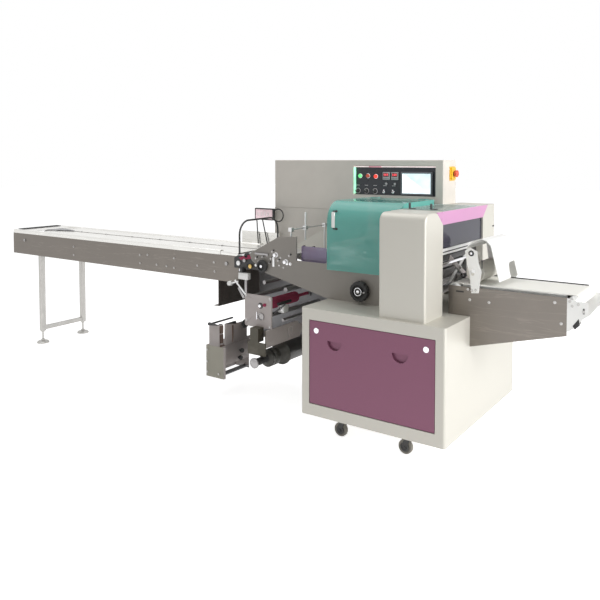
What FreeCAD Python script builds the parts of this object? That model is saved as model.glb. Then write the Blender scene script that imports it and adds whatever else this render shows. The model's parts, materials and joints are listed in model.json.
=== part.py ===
"""Horizontal flow wrapper with bottom film feed (pillow packing machine).

X runs with the product, from the infeed conveyor to the outfeed belt. The operator stands at -Y and Z is up.
While it is modelled, X = 0 is the infeed side of the base cabinet, Y = 0 its front face and Z = 0 the floor.
The finished part is moved so that its origin is the bottom centre of its bounding box. Sizes are millimetres.
"""
import FreeCAD, Part
import math
import os

V = FreeCAD.Vector
X_AXIS, Y_AXIS, Z_AXIS = V(1, 0, 0), V(0, 1, 0), V(0, 0, 1)

# ---------------------------------------------------------------- driving dimensions
SHEET = 3.0                # steel sheet of the cabinet and guards
SEAT_GAP = 0.3             # gap left where one piece rests in another
RUNNING_FIT = 0.05         # radial clearance of shafts in their bearings
MOVING_GAP = 6.0           # least clearance between moving pieces

DECK_HEIGHT = 896.0        # infeed deck above the floor: every height of the machine follows it
CABINET_LENGTH = 815.0     # the housing and the outfeed follow the outfeed end of the cabinet
CABINET_DEPTH = 995.0      # the rear plate, the infeed width and the rear box follow the back
CABINET_BOTTOM = 125.0     # height of the cabinet above the floor
CABINET_HEIGHT = DECK_HEIGHT - 201.0 - CABINET_BOTTOM
CABINET_RADIUS = 12.0      # bend of the front corners
FRONT_FRAME_DEPTH = 40.0   # folded front frame of the cabinet
PANEL_MARGIN_SIDE = 50.0
PANEL_MARGIN_TOP = 60.0
PANEL_MARGIN_BOTTOM = 62.0
PANEL_GAP = 2.5            # gap round the lift-off panel
PANEL_RECESS = 2.0
PANEL_DEPTH = 20.0         # from the cabinet face to the stop behind the panel
PANEL_LIP = 12.0
LOCK_RADIUS = 15.0
LOCK_INSET_X = 47.0
LOCK_INSET_Z = 53.0
LOCK_HEAD = 5.0
PULL_LENGTH = 90.0
PULL_HEIGHT = 46.0
PULL_DEPTH = 16.0
PULL_INSET_X = 157.0
PULL_INSET_Z = 122.0

CASTER_X = (200.0, CABINET_LENGTH - 235.0)
CASTER_INSET_Y = 120.0
CASTER_TRAIL = 22.0
WHEEL_RADIUS = 37.5
WHEEL_WIDTH = 24.0
WHEEL_AXLE = 5.0
FORK_LEG = 4.0
CASTER_CROWN = 24.0        # radius of the swivel crown
CASTER_PIN = 6.0
CASTER_PLATE = 4.0

FRAME_PLATE = 12.0         # upright side plates of the wrapping section
FRONT_PLATE_Y = 262.0
REAR_PLATE_Y = CABINET_DEPTH - 269.0
NOSE_LENGTH = 660.0        # how far the side plates reach over the film carriage
NOSE_HEIGHT = DECK_HEIGHT - 46.0
NOSE_CUT_X = -444.0
SHOULDER_X = -347.0
POST_X = -219.0
POST_HEIGHT = DECK_HEIGHT + 134.0
SHELF_HEIGHT = DECK_HEIGHT - 6.0

INFEED_FRONT = 293.0
INFEED_WIDTH = REAR_PLATE_Y - 4.0 - INFEED_FRONT
LINE_Y = INFEED_FRONT + INFEED_WIDTH / 2    # centre line of the product

HOUSING_X = CABINET_LENGTH - 368.0          # end-seal housing
HOUSING_LENGTH = 250.0
HOUSING_TOP = DECK_HEIGHT + 322.0
HOUSING_FRONT = 29.0
COLUMN_DEPTH = 206.0
COLUMN_BEND = 48.0         # large bend over the front of the housing
FASCIA_DROP = 66.0
FASCIA_SPLAY = 78.0
SCREEN_BOTTOM = DECK_HEIGHT + 134.0

JAW_RADIUS = 66.0          # from the shaft centre to the teeth
JAW_SHAFT = 18.0
JAW_LENGTH = INFEED_WIDTH - 99.0
JAW_WIDTH = 34.0
JAW_TEETH = 6
SEAL_HEIGHT = DECK_HEIGHT - 8.0
BEARING_WIDTH = 90.0
BEARING_DEPTH = 38.0

REAR_BOX_X = -734.0        # electrical cabinet behind the machine
REAR_BOX_LENGTH = HOUSING_X + 35.0 - REAR_BOX_X
REAR_BOX_Y = REAR_PLATE_Y + FRAME_PLATE + 2.0
REAR_BOX_DEPTH = 188.0
REAR_BOX_TOP = DECK_HEIGHT + 579.0
REAR_BOX_SEAM = DECK_HEIGHT + 264.0
CONSOLE_LEFT = REAR_BOX_LENGTH - 600.0       # console window, from the infeed end of the rear box
CONSOLE_LENGTH = 552.0
CONSOLE_TOP = 35.0
CONSOLE_HEIGHT = 180.0
CONSOLE_RECESS = 32.0
CONSOLE_PLATE = 4.0
SCREEN_LENGTH = 182.0
SCREEN_HEIGHT = 118.0
SCREEN_DEPTH = 14.0

HOOD_SHEET = 4.0           # tinted acrylic guard over the fin seal
HOOD_FRONT = 246.0
HOOD_BOTTOM = DECK_HEIGHT - 34.0
HOOD_TOP = DECK_HEIGHT + 351.0
HOOD_BEND = 118.0
HOOD_BACK = REAR_PLATE_Y - 20.0
HOOD_TUNNEL = DECK_HEIGHT + 114.0       # height of the cut-out for the product in the hood ends
HINGE_RADIUS = 6.0

HANDWHEEL_X = 220.0
HANDWHEEL_Z = DECK_HEIGHT - 131.0
HANDWHEEL_RADIUS = 55.0
HANDWHEEL_DEPTH = 30.0
HANDWHEEL_STAND = 12.0
HANDWHEEL_SHAFT = 10.0

INFEED_END = -3120.0       # free end of the infeed conveyor
INFEED_INNER = -680.0
INFEED_SHEET = 3.0
INFEED_TOP = DECK_HEIGHT - 21.0
INFEED_DEPTH = 168.0
RAIL_WIDTH = 34.0
RAIL_HEIGHT = 28.0
RAIL_END = -830.0
DECK_START = -2790.0
DECK_SHEET = 3.0
SLOT_WIDTH = 26.0
CHAIN_RADIUS = 58.0
CHAIN_THICK = 8.0
CHAIN_WIDTH = 16.0
CHAIN_TAIL_X = -2960.0
CHAIN_HEAD_X = -780.0
LUG_PITCH = 300.0
LUG_HEIGHT = 14.0
LEG_SIZE = 38.0
LEG_X = -2767.0
LEG_BOTTOM = 98.0
FOOT_RADIUS = 48.0
FOOT_HEIGHT = 22.0
STEM_RADIUS = 7.0
DROP_PLATE_X = -851.0
DROP_PLATE_BOTTOM = DECK_HEIGHT - 357.0
DROP_FLANGE = 42.0

ARCH_X = -680.0
ARCH_ROD = 6.0
ARCH_TOP = DECK_HEIGHT + 198.0
ARCH_BEND = 88.0
DISPLAY_X = -873.0
DISPLAY_LENGTH = 159.0

FORMER_START = -330.0
FORMER_END = -14.0
FORMER_SHEET = 2.0
GUARD_FRONT = 300.0        # acrylic guard in front of the bag former
GANTRY_X = -300.0
GANTRY_HEIGHT = DECK_HEIGHT + 166.0
GANTRY_ROD = 5.0

OUTFEED_FRONT = 304.0
OUTFEED_WIDTH = 296.0
OUTFEED_SHEET = 4.0
OUTFEED_START = HOUSING_X + HOUSING_LENGTH + 3.0
OUTFEED_END = CABINET_LENGTH + 461.0
OUTFEED_TOP = DECK_HEIGHT - 54.0
OUTFEED_END_BOTTOM = DECK_HEIGHT - 231.0
OUTFEED_ROOT_BOTTOM = DECK_HEIGHT - 353.0
BELT_TOP = DECK_HEIGHT - 38.0
BELT_THICK = 3.0
BELT_ROLLER = 27.0
BELT_TAIL_X = OUTFEED_END + 32.0
BELT_DRIVE_X = OUTFEED_START + 35.0
BELT_GAP = 2.0

PRESS_X = CABINET_LENGTH + 14.0             # sponge roller that holds the packs on the belt
PRESS_RADIUS = 47.0
PRESS_LENGTH = OUTFEED_WIDTH - 56.0
PRESS_PLATE = 8.0

FILM_PLATE = 12.0
FILM_REAR_BOTTOM = DECK_HEIGHT - 661.0
REEL_X = -445.0
REEL_Z = DECK_HEIGHT - 620.0
REEL_RADIUS = 53.0
REEL_CORE = 62.0
REEL_SHAFT = 15.0
REEL_FRONT = 146.0
FEED_ROLLER_X = -440.0
FEED_ROLLER_Z = DECK_HEIGHT - 290.0
FEED_ROLLER_RADIUS = 34.0
CARRIAGE_FRONT = 250.0
CARRIAGE_PLATE = 10.0
CODER_X = -852.0           # outer side of the film tension unit
CODER_LENGTH = 117.0
CODER_FRONT = 178.0
CODER_BOTTOM = DECK_HEIGHT - 775.0
CODER_TOP = DECK_HEIGHT - 578.0


# ---------------------------------------------------------------- small shape helpers
def box(x0, x1, y0, y1, z0, z1):
    """Block between two corners."""
    return Part.makeBox(x1 - x0, y1 - y0, z1 - z0, V(x0, y0, z0))


def rod_x(y, z, radius, x0, x1):
    return Part.makeCylinder(radius, x1 - x0, V(x0, y, z), X_AXIS)


def rod_y(x, z, radius, y0, y1):
    return Part.makeCylinder(radius, y1 - y0, V(x, y0, z), Y_AXIS)


def rod_z(x, y, radius, z0, z1):
    return Part.makeCylinder(radius, z1 - z0, V(x, y, z0), Z_AXIS)


def slanted_rod(start, end, radius):
    return Part.makeCylinder(radius, (end - start).Length, start, end - start)


def polygon(points):
    return Part.Face(Part.makePolygon(list(points) + [points[0]]))


def plate_y(outline, y0, y1):
    """Plate cut from an outline of (x, z) points, between two depths."""
    return polygon([V(x, y0, z) for x, z in outline]).extrude(V(0, y1 - y0, 0))


def plate_x(outline, x0, x1):
    """Plate cut from an outline of (y, z) points, between two stations."""
    return polygon([V(x0, y, z) for y, z in outline]).extrude(V(x1 - x0, 0, 0))


def fused(shapes):
    shapes = list(shapes)
    joined = shapes[0]
    for other in shapes[1:]:
        joined = joined.fuse(other)
    return joined.removeSplitter()


def group(shapes):
    return Part.makeCompound(list(shapes))


def round_edges(shape, radius, chosen):
    """Fillet the edges for which chosen(edge) is true."""
    edges = [edge for edge in shape.Edges if chosen(edge)]
    return shape.makeFillet(radius, edges) if edges else shape


def along(edge, axis):
    """True for a straight edge that runs along the axis."""
    if len(edge.Vertexes) != 2:
        return False
    run = edge.Vertexes[1].Point - edge.Vertexes[0].Point
    return run.Length > 0 and abs(abs(run.normalize().dot(axis)) - 1) < 1e-6


def middle(edge):
    return edge.BoundBox.Center


def ring_profile(points, axis_point, axis):
    """Turned piece from a closed outline of points in a plane through its axis."""
    return polygon(points).revolve(axis_point, axis, 360)


# ---------------------------------------------------------------- base cabinet
CABINET_TOP = CABINET_BOTTOM + CABINET_HEIGHT
PANEL = dict(x0=PANEL_MARGIN_SIDE, x1=CABINET_LENGTH - PANEL_MARGIN_SIDE,
             z0=CABINET_BOTTOM + PANEL_MARGIN_BOTTOM, z1=CABINET_TOP - PANEL_MARGIN_TOP)


def panel_window(grow, y0, y1):
    return box(PANEL["x0"] - grow, PANEL["x1"] + grow, y0, y1, PANEL["z0"] - grow, PANEL["z1"] + grow)


def cabinet_front_frame():
    """Folded front frame with a flanged opening and a stop for the lift-off panel."""
    def front_corner(edge):
        return along(edge, Z_AXIS) and middle(edge).y < SHEET + 1

    outer = box(0, CABINET_LENGTH, 0, FRONT_FRAME_DEPTH, CABINET_BOTTOM, CABINET_TOP)
    outer = round_edges(outer, CABINET_RADIUS, front_corner)
    inner = box(SHEET, CABINET_LENGTH - SHEET, SHEET, FRONT_FRAME_DEPTH,
                CABINET_BOTTOM + SHEET, CABINET_TOP - SHEET)
    inner = round_edges(inner, CABINET_RADIUS - SHEET, front_corner)
    tray = outer.cut(inner).cut(panel_window(0, 0, FRONT_FRAME_DEPTH))
    flange = panel_window(SHEET, 0, PANEL_DEPTH + SHEET).cut(panel_window(0, 0, PANEL_DEPTH + SHEET))
    stop = panel_window(SHEET, PANEL_DEPTH, PANEL_DEPTH + SHEET)
    stop = stop.cut(panel_window(-PANEL_LIP, PANEL_DEPTH, PANEL_DEPTH + SHEET))
    return fused([tray, flange, stop])


def lock_centres():
    z = PANEL["z1"] - LOCK_INSET_Z
    return [(PANEL["x0"] + LOCK_INSET_X, z), (PANEL["x1"] - LOCK_INSET_X, z)]


def pull_centres():
    z = PANEL["z1"] - PULL_INSET_Z
    return [(PANEL["x0"] + PULL_INSET_X, z), (PANEL["x1"] - PULL_INSET_X - 28, z)]


def pull_cup(x, z, grow):
    """Half-round cup, open upwards, that the fingers reach into."""
    half = PULL_LENGTH / 2 - grow
    cup = Part.makeCylinder(half, PULL_DEPTH - grow, V(x, PANEL_RECESS, z + PULL_HEIGHT / 2), Y_AXIS)
    keep = box(x - half, x + half, 0, PANEL_DEPTH, z - PULL_HEIGHT / 2, z + PULL_HEIGHT / 2 + grow)
    return cup.common(keep)


def front_panel():
    """Lift-off tray panel with holes for the locks and two pressed finger pulls."""
    outer = panel_window(-PANEL_GAP, PANEL_RECESS, PANEL_DEPTH)
    outer = round_edges(outer, 2.0, lambda e: middle(e).y < PANEL_RECESS + 0.1)
    panel = outer.cut(panel_window(-PANEL_GAP - SHEET, PANEL_RECESS + SHEET, PANEL_DEPTH))
    for x, z in pull_centres():
        panel = panel.fuse(pull_cup(x, z, 0))
        panel = panel.cut(pull_cup(x, z, SHEET / 2).translated(V(0, -0.1, 0)))
    for x, z in lock_centres():
        panel = panel.cut(rod_y(x, z, LOCK_RADIUS * 0.7, 0, PANEL_DEPTH))
    return panel.removeSplitter()


def panel_locks():
    """Two round quarter-turn locks with a key slot and a cam behind the panel."""
    locks = []
    for x, z in lock_centres():
        head = rod_y(x, z, LOCK_RADIUS, PANEL_RECESS - LOCK_HEAD, PANEL_RECESS)
        head = round_edges(head, 1.5, lambda e: middle(e).y < PANEL_RECESS - LOCK_HEAD + 0.1)
        barrel = rod_y(x, z, LOCK_RADIUS * 0.7 - SEAT_GAP, PANEL_RECESS, PANEL_DEPTH)
        slot = box(x - 1.5, x + 1.5, PANEL_RECESS - LOCK_HEAD, PANEL_RECESS - 2, z - 7, z + 7)
        locks.append(fused([head, barrel]).cut(slot))
    return group(locks)


def cabinet_side_walls():
    y0 = FRONT_FRAME_DEPTH
    walls = []
    for x in (0, CABINET_LENGTH - SHEET):
        walls.append(box(x, x + SHEET, y0, CABINET_DEPTH, CABINET_BOTTOM, CABINET_TOP))
    return group(walls)


def cabinet_rear_wall():
    """Back sheet with a block of cooling slots."""
    wall = box(SHEET, CABINET_LENGTH - SHEET, CABINET_DEPTH - SHEET, CABINET_DEPTH, CABINET_BOTTOM,
               CABINET_TOP)
    slot_pitch, slot_length, slots = 22.0, 150.0, 6
    for column in (-1, 1):
        centre = CABINET_LENGTH / 2 + column * CABINET_LENGTH / 4
        for n in range(slots):
            z = CABINET_BOTTOM + CABINET_HEIGHT / 2 + n * slot_pitch
            wall = wall.cut(box(centre - slot_length / 2, centre + slot_length / 2,
                                CABINET_DEPTH - SHEET, CABINET_DEPTH, z, z + 8))
    return wall


def cabinet_top():
    return box(SHEET, CABINET_LENGTH - SHEET, FRONT_FRAME_DEPTH, CABINET_DEPTH - SHEET,
               CABINET_TOP - SHEET, CABINET_TOP)


def cabinet_floor():
    return box(SHEET, CABINET_LENGTH - SHEET, FRONT_FRAME_DEPTH, CABINET_DEPTH - SHEET,
               CABINET_BOTTOM, CABINET_BOTTOM + SHEET)


# ---------------------------------------------------------------- casters
CASTERS = [(x, y) for y in (CASTER_INSET_Y, CABINET_DEPTH - CASTER_INSET_Y) for x in CASTER_X]
CROWN_BOTTOM = 2 * WHEEL_RADIUS + 20
PLATE_BOTTOM = CABINET_BOTTOM - CASTER_PLATE
FORK_INSIDE = WHEEL_WIDTH / 2 + 5


def caster_mounts():
    """Top plates under the cabinet, each with the pin and head that the fork swivels on."""
    mounts = []
    for x, y in CASTERS:
        plate = box(x - 35, x + 35, y - 30, y + 30, PLATE_BOTTOM, CABINET_BOTTOM)
        plate = round_edges(plate, 6.0, lambda e: along(e, Z_AXIS))
        pin = rod_z(x, y, CASTER_PIN, CROWN_BOTTOM - SEAT_GAP, PLATE_BOTTOM)
        head = rod_z(x, y, CASTER_PIN + 4, CROWN_BOTTOM - SEAT_GAP - 4, CROWN_BOTTOM - SEAT_GAP)
        mounts.append(fused([plate, pin, head]))
    return group(mounts)


def caster_fork(x, y):
    """Swivel fork: a turned crown with two pressed legs and the axle between them."""
    crown = rod_z(x, y, CASTER_CROWN, CROWN_BOTTOM, PLATE_BOTTOM - SEAT_GAP)
    crown = round_edges(crown, 4.0, lambda e: middle(e).z < CROWN_BOTTOM + 0.1)
    axle_x = x - CASTER_TRAIL
    shoulder = CASTER_CROWN * 0.55
    leg = [(x - shoulder, PLATE_BOTTOM - 8), (x + shoulder, PLATE_BOTTOM - 8),
           (x + shoulder, CROWN_BOTTOM - 2), (axle_x + 13, WHEEL_RADIUS), (axle_x - 13, WHEEL_RADIUS)]
    parts = [crown]
    for side in (-1, 1):
        y0 = y + side * (FORK_INSIDE + FORK_LEG / 2) - FORK_LEG / 2
        cheek = plate_y(leg, y0, y0 + FORK_LEG).fuse(rod_y(axle_x, WHEEL_RADIUS, 13, y0, y0 + FORK_LEG))
        parts.append(cheek)
        nut = y + side * (FORK_INSIDE + FORK_LEG + 2) - 2
        parts.append(rod_y(axle_x, WHEEL_RADIUS, 8, nut, nut + 4))
    parts.append(rod_y(axle_x, WHEEL_RADIUS, WHEEL_AXLE, y - FORK_INSIDE, y + FORK_INSIDE))
    fork = fused(parts)
    return fork.cut(rod_z(x, y, CASTER_PIN + RUNNING_FIT, CROWN_BOTTOM, PLATE_BOTTOM))


def caster_wheel(x, y):
    """Wheel with a rounded tread, dished sides and a hub on the axle."""
    axle_x, half, hub = x - CASTER_TRAIL, WHEEL_WIDTH / 2, WHEEL_WIDTH / 2 + 3
    bore, dish = WHEEL_AXLE + RUNNING_FIT, 5.0
    rim, boss = WHEEL_RADIUS - 11, WHEEL_AXLE + 6
    profile = [(bore, -hub), (boss, -hub), (boss, -half + dish), (rim, -half + dish), (rim, -half),
               (WHEEL_RADIUS - 3, -half), (WHEEL_RADIUS, -half + 5), (WHEEL_RADIUS, half - 5),
               (WHEEL_RADIUS - 3, half), (rim, half), (rim, half - dish), (boss, half - dish),
               (boss, hub), (bore, hub)]
    points = [V(axle_x, y + across, WHEEL_RADIUS + out) for out, across in profile]
    return ring_profile(points, V(axle_x, y, WHEEL_RADIUS), Y_AXIS)


# ---------------------------------------------------------------- upright frame of the wrapping section
def nose_outline(tip):
    """Outline of a side plate: flat over the cabinet, then a nose that reaches over the film carriage."""
    return [(0, CABINET_TOP), (HOUSING_X, CABINET_TOP), (HOUSING_X, SHELF_HEIGHT), (POST_X, SHELF_HEIGHT),
            (POST_X, POST_HEIGHT), (SHOULDER_X, POST_HEIGHT - 9)] + tip


def front_side_plate():
    """Front plate: its nose is cut back to leave room for the film adjusters."""
    tip = [(-NOSE_LENGTH + 92, NOSE_HEIGHT + 54), (-NOSE_LENGTH + 110, NOSE_HEIGHT + 14),
           (NOSE_CUT_X, NOSE_HEIGHT - 53)]
    plate = plate_y(nose_outline(tip), FRONT_PLATE_Y, FRONT_PLATE_Y + FRAME_PLATE)
    return plate.cut(rod_y(HANDWHEEL_X, HANDWHEEL_Z, HANDWHEEL_SHAFT + RUNNING_FIT,
                           FRONT_PLATE_Y, FRONT_PLATE_Y + FRAME_PLATE))


def rear_side_plate():
    tip = [(-NOSE_LENGTH, NOSE_HEIGHT + 6), (-NOSE_LENGTH, NOSE_HEIGHT - 2)]
    return plate_y(nose_outline(tip), REAR_PLATE_Y, REAR_PLATE_Y + FRAME_PLATE)


CROSS_BARS = [(-250, SHELF_HEIGHT - 90), (60, SHELF_HEIGHT - 155), (HOUSING_X - 47, SHELF_HEIGHT - 155),
              (HOUSING_X - 47, SHELF_HEIGHT - 40)]


def cross_bars():
    """Round spacers between the two side plates, and the link that carries the inner end of the infeed."""
    bars = [rod_y(x, z, 13, FRONT_PLATE_Y + FRAME_PLATE, REAR_PLATE_Y) for x, z in CROSS_BARS]
    link = [(INFEED_INNER - 20, NOSE_HEIGHT - 44), (INFEED_INNER - 20, NOSE_HEIGHT + 18),
            (INFEED_INNER + 10, NOSE_HEIGHT + 36), (NOSE_CUT_X - 30, NOSE_HEIGHT + 36),
            (NOSE_CUT_X, NOSE_HEIGHT - 44)]
    bars.append(plate_y(link, FRONT_PLATE_Y + FRAME_PLATE, INFEED_FRONT))
    return group(bars)


# ---------------------------------------------------------------- electrical cabinet and console
REAR_BOX_END = REAR_BOX_X + REAR_BOX_LENGTH
CONSOLE = dict(x0=REAR_BOX_X + CONSOLE_LEFT, x1=REAR_BOX_X + CONSOLE_LEFT + CONSOLE_LENGTH,
               z0=REAR_BOX_TOP - CONSOLE_TOP - CONSOLE_HEIGHT, z1=REAR_BOX_TOP - CONSOLE_TOP)
CONSOLE_FACE = REAR_BOX_Y + CONSOLE_RECESS - CONSOLE_PLATE


def electrical_cabinet():
    """Upper rear box with bent edges and a recessed window for the console."""
    body = box(REAR_BOX_X, REAR_BOX_END, REAR_BOX_Y, REAR_BOX_Y + REAR_BOX_DEPTH, REAR_BOX_SEAM, REAR_BOX_TOP)
    body = round_edges(body, 5.0, lambda e: middle(e).z > REAR_BOX_SEAM + 1 and not along(e, Y_AXIS))
    recess = box(CONSOLE["x0"], CONSOLE["x1"], REAR_BOX_Y, REAR_BOX_Y + CONSOLE_RECESS,
                 CONSOLE["z0"], CONSOLE["z1"])
    return body.cut(recess)


def rear_housing():
    """Lower rear box over the drive, cut back under its infeed end."""
    seam_gap = 2.0
    outline = [(0, CABINET_TOP), (REAR_BOX_END, CABINET_TOP), (REAR_BOX_END, REAR_BOX_SEAM - seam_gap),
               (REAR_BOX_X, REAR_BOX_SEAM - seam_gap), (REAR_BOX_X, NOSE_HEIGHT + 14)]
    lower = plate_y(outline, REAR_BOX_Y, REAR_BOX_Y + REAR_BOX_DEPTH)
    joint = box(REAR_BOX_X + 6, REAR_BOX_END - 6, REAR_BOX_Y + 6, REAR_BOX_Y + REAR_BOX_DEPTH - 6,
                REAR_BOX_SEAM - seam_gap, REAR_BOX_SEAM)
    return fused([lower, joint])


def control_panel():
    return box(CONSOLE["x0"] + SEAT_GAP, CONSOLE["x1"] - SEAT_GAP, CONSOLE_FACE, CONSOLE_FACE + CONSOLE_PLATE,
               CONSOLE["z0"] + SEAT_GAP, CONSOLE["z1"] - SEAT_GAP)


SCREEN_X = CONSOLE["x1"] - 38 - SCREEN_LENGTH
SCREEN_Z = CONSOLE["z0"] + 16


def touch_screen():
    """Operator terminal: a bezel with a rounded edge and a sunk display."""
    frame = box(SCREEN_X - 12, SCREEN_X + SCREEN_LENGTH + 12, CONSOLE_FACE - SCREEN_DEPTH, CONSOLE_FACE,
                SCREEN_Z - 10, SCREEN_Z + SCREEN_HEIGHT + 10)
    face = CONSOLE_FACE - SCREEN_DEPTH
    frame = round_edges(frame, 4.0, lambda e: middle(e).y < face + 0.1 or along(e, Y_AXIS))
    sunk = 3.0
    return frame.cut(box(SCREEN_X, SCREEN_X + SCREEN_LENGTH, CONSOLE_FACE - SCREEN_DEPTH,
                         CONSOLE_FACE - SCREEN_DEPTH + sunk, SCREEN_Z, SCREEN_Z + SCREEN_HEIGHT))


BUTTON_ROW_Z = CONSOLE["z1"] - 52
KNOB_ROW_Z = CONSOLE["z0"] + 30


def push_buttons():
    """Green, grey and red push buttons in raised collars, and two square temperature controllers."""
    solids = []
    for n in range(3):
        x = CONSOLE["x0"] + 36 + n * 54
        collar = rod_y(x, BUTTON_ROW_Z, 15, CONSOLE_FACE - 5, CONSOLE_FACE)
        cap = rod_y(x, BUTTON_ROW_Z, 11, CONSOLE_FACE - 14, CONSOLE_FACE - 5)
        cap = round_edges(cap, 3.0, lambda e: middle(e).y < CONSOLE_FACE - 13.9)
        solids.append(fused([collar, cap]))
    for n in range(2):
        x = CONSOLE["x0"] + 218 + n * 58
        meter = box(x - 24, x + 24, CONSOLE_FACE - 9, CONSOLE_FACE, BUTTON_ROW_Z - 24, BUTTON_ROW_Z + 24)
        meter = round_edges(meter, 3.0, lambda e: along(e, Y_AXIS))
        solids.append(meter.cut(box(x - 19, x + 19, CONSOLE_FACE - 9, CONSOLE_FACE - 7,
                                    BUTTON_ROW_Z - 4, BUTTON_ROW_Z + 19)))
    return group(solids)


def selector_knobs():
    """Speed dials and toggle switches in the lower row of the console."""
    solids = []
    for n in range(3):
        x = CONSOLE["x0"] + 26 + n * 58
        skirt = Part.makeCone(15, 12, 6, V(x, CONSOLE_FACE, KNOB_ROW_Z), V(0, -1, 0))
        grip = rod_y(x, KNOB_ROW_Z, 9, CONSOLE_FACE - 20, CONSOLE_FACE - 6)
        mark = box(x - 1, x + 1, CONSOLE_FACE - 21, CONSOLE_FACE - 18, KNOB_ROW_Z, KNOB_ROW_Z + 9)
        solids.append(fused([skirt, grip, mark]))
    for n in range(2):
        x = CONSOLE["x0"] + 206 + n * 58
        nut = rod_y(x, KNOB_ROW_Z, 8, CONSOLE_FACE - 4, CONSOLE_FACE)
        lever = Part.makeCylinder(2.5, 20, V(x, CONSOLE_FACE - 3, KNOB_ROW_Z), V(0.3, -1, 0.45))
        solids.append(fused([nut, lever]))
    return group(solids)


def emergency_stop():
    """Mushroom button on a square plate, on the outfeed end of the electrical cabinet."""
    y, z = REAR_BOX_Y + REAR_BOX_DEPTH * 0.66, REAR_BOX_TOP - 80
    plate = box(REAR_BOX_END, REAR_BOX_END + 5, y - 38, y + 38, z - 42, z + 42)
    plate = round_edges(plate, 5.0, lambda e: along(e, X_AXIS))
    neck = rod_x(y, z, 14, REAR_BOX_END + 5, REAR_BOX_END + 18)
    outline = [V(REAR_BOX_END + 18, y, z), V(REAR_BOX_END + 18, y, z + 20), V(REAR_BOX_END + 25, y, z + 25),
               V(REAR_BOX_END + 32, y, z + 20), V(REAR_BOX_END + 36, y, z)]
    return fused([plate, neck, ring_profile(outline, V(0, y, z), X_AXIS)])


# ---------------------------------------------------------------- end-seal housing
HOUSING_END = HOUSING_X + HOUSING_LENGTH
COLUMN_INSIDE = HOUSING_FRONT + COLUMN_DEPTH
REAR_COLUMN_Y = CABINET_DEPTH - COLUMN_DEPTH + 11


def front_column():
    """Front tower: its face bends over the top, and the inner corner is cut for the fascia."""
    outline = [(HOUSING_FRONT, CABINET_TOP), (COLUMN_INSIDE, CABINET_TOP),
               (COLUMN_INSIDE, HOUSING_TOP - FASCIA_DROP), (COLUMN_INSIDE - FASCIA_SPLAY, HOUSING_TOP),
               (HOUSING_FRONT, HOUSING_TOP)]
    tower = plate_x(outline, HOUSING_X, HOUSING_END)
    tower = round_edges(tower, COLUMN_BEND, lambda e: along(e, X_AXIS) and middle(e).y < HOUSING_FRONT + 1
                        and middle(e).z > HOUSING_TOP - 1)
    return round_edges(tower, 10.0, lambda e: along(e, Z_AXIS) and middle(e).y < HOUSING_FRONT + 1)


def rear_column():
    """Rear tower, the mirror of the front one, set to the back of the cabinet."""
    outline = [(REAR_COLUMN_Y, CABINET_TOP), (CABINET_DEPTH, CABINET_TOP), (CABINET_DEPTH, HOUSING_TOP),
               (REAR_COLUMN_Y + FASCIA_SPLAY, HOUSING_TOP), (REAR_COLUMN_Y, HOUSING_TOP - FASCIA_DROP)]
    tower = plate_x(outline, REAR_BOX_END + SEAT_GAP, HOUSING_END)
    return round_edges(tower, 10.0, lambda e: along(e, Z_AXIS) and middle(e).y > CABINET_DEPTH - 1)


def fascia_outline(top, bottom):
    """Trapezium between the two columns, down to the given heights."""
    slope = FASCIA_SPLAY / FASCIA_DROP
    reach = FASCIA_SPLAY - (HOUSING_TOP - top) * slope
    low = FASCIA_SPLAY - (HOUSING_TOP - bottom) * slope
    return [(COLUMN_INSIDE - reach, top), (REAR_COLUMN_Y + reach, top),
            (REAR_COLUMN_Y + low, bottom), (COLUMN_INSIDE - low, bottom)]


def housing_roof():
    """Closed bridge between the columns; it reaches back to the hood side of the housing."""
    outline = fascia_outline(HOUSING_TOP, HOUSING_TOP - FASCIA_DROP)
    roof = plate_x(outline, HOUSING_X, HOUSING_END - SHEET)
    return roof.cut(box(HOUSING_X, REAR_BOX_END + SEAT_GAP, REAR_PLATE_Y, CABINET_DEPTH, CABINET_TOP,
                        HOUSING_TOP))


def purple_fascia():
    return plate_x(fascia_outline(HOUSING_TOP, HOUSING_TOP - FASCIA_DROP), HOUSING_END - SHEET, HOUSING_END)


def smoked_screen():
    """Dark acrylic screen that hangs under the fascia."""
    return box(HOUSING_END - 14, HOUSING_END - 9, COLUMN_INSIDE, REAR_COLUMN_Y, SCREEN_BOTTOM,
               HOUSING_TOP - FASCIA_DROP)


# ---------------------------------------------------------------- end-seal jaws
JAW_X = HOUSING_X + HOUSING_LENGTH / 2
JAW_DROP = JAW_RADIUS + MOVING_GAP / 2
UPPER_JAW_Z = SEAL_HEIGHT + JAW_DROP
LOWER_JAW_Z = SEAL_HEIGHT - JAW_DROP
JAW_Y0 = LINE_Y - JAW_LENGTH / 2
JAW_Y1 = LINE_Y + JAW_LENGTH / 2


def crimp_outline(z):
    """Section of one jaw bar above a shaft at height z: a dovetail foot and a toothed sealing face."""
    half, root, tip = JAW_WIDTH / 2, JAW_RADIUS - 6, JAW_RADIUS
    pitch = JAW_WIDTH / JAW_TEETH
    teeth = []
    for n in range(JAW_TEETH):
        teeth.append((half - n * pitch, root + 3))
        teeth.append((half - (n + 0.5) * pitch, math.sqrt(tip ** 2 - (half - (n + 0.5) * pitch) ** 2)))
    teeth.append((-half, root + 3))
    foot = [(-half, root - 22), (-half + 8, root - 26), (-half + 8, 0), (half - 8, 0), (half - 8, root - 26),
            (half, root - 22)]
    return [(JAW_X + across, z + up) for across, up in foot + teeth]


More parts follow.
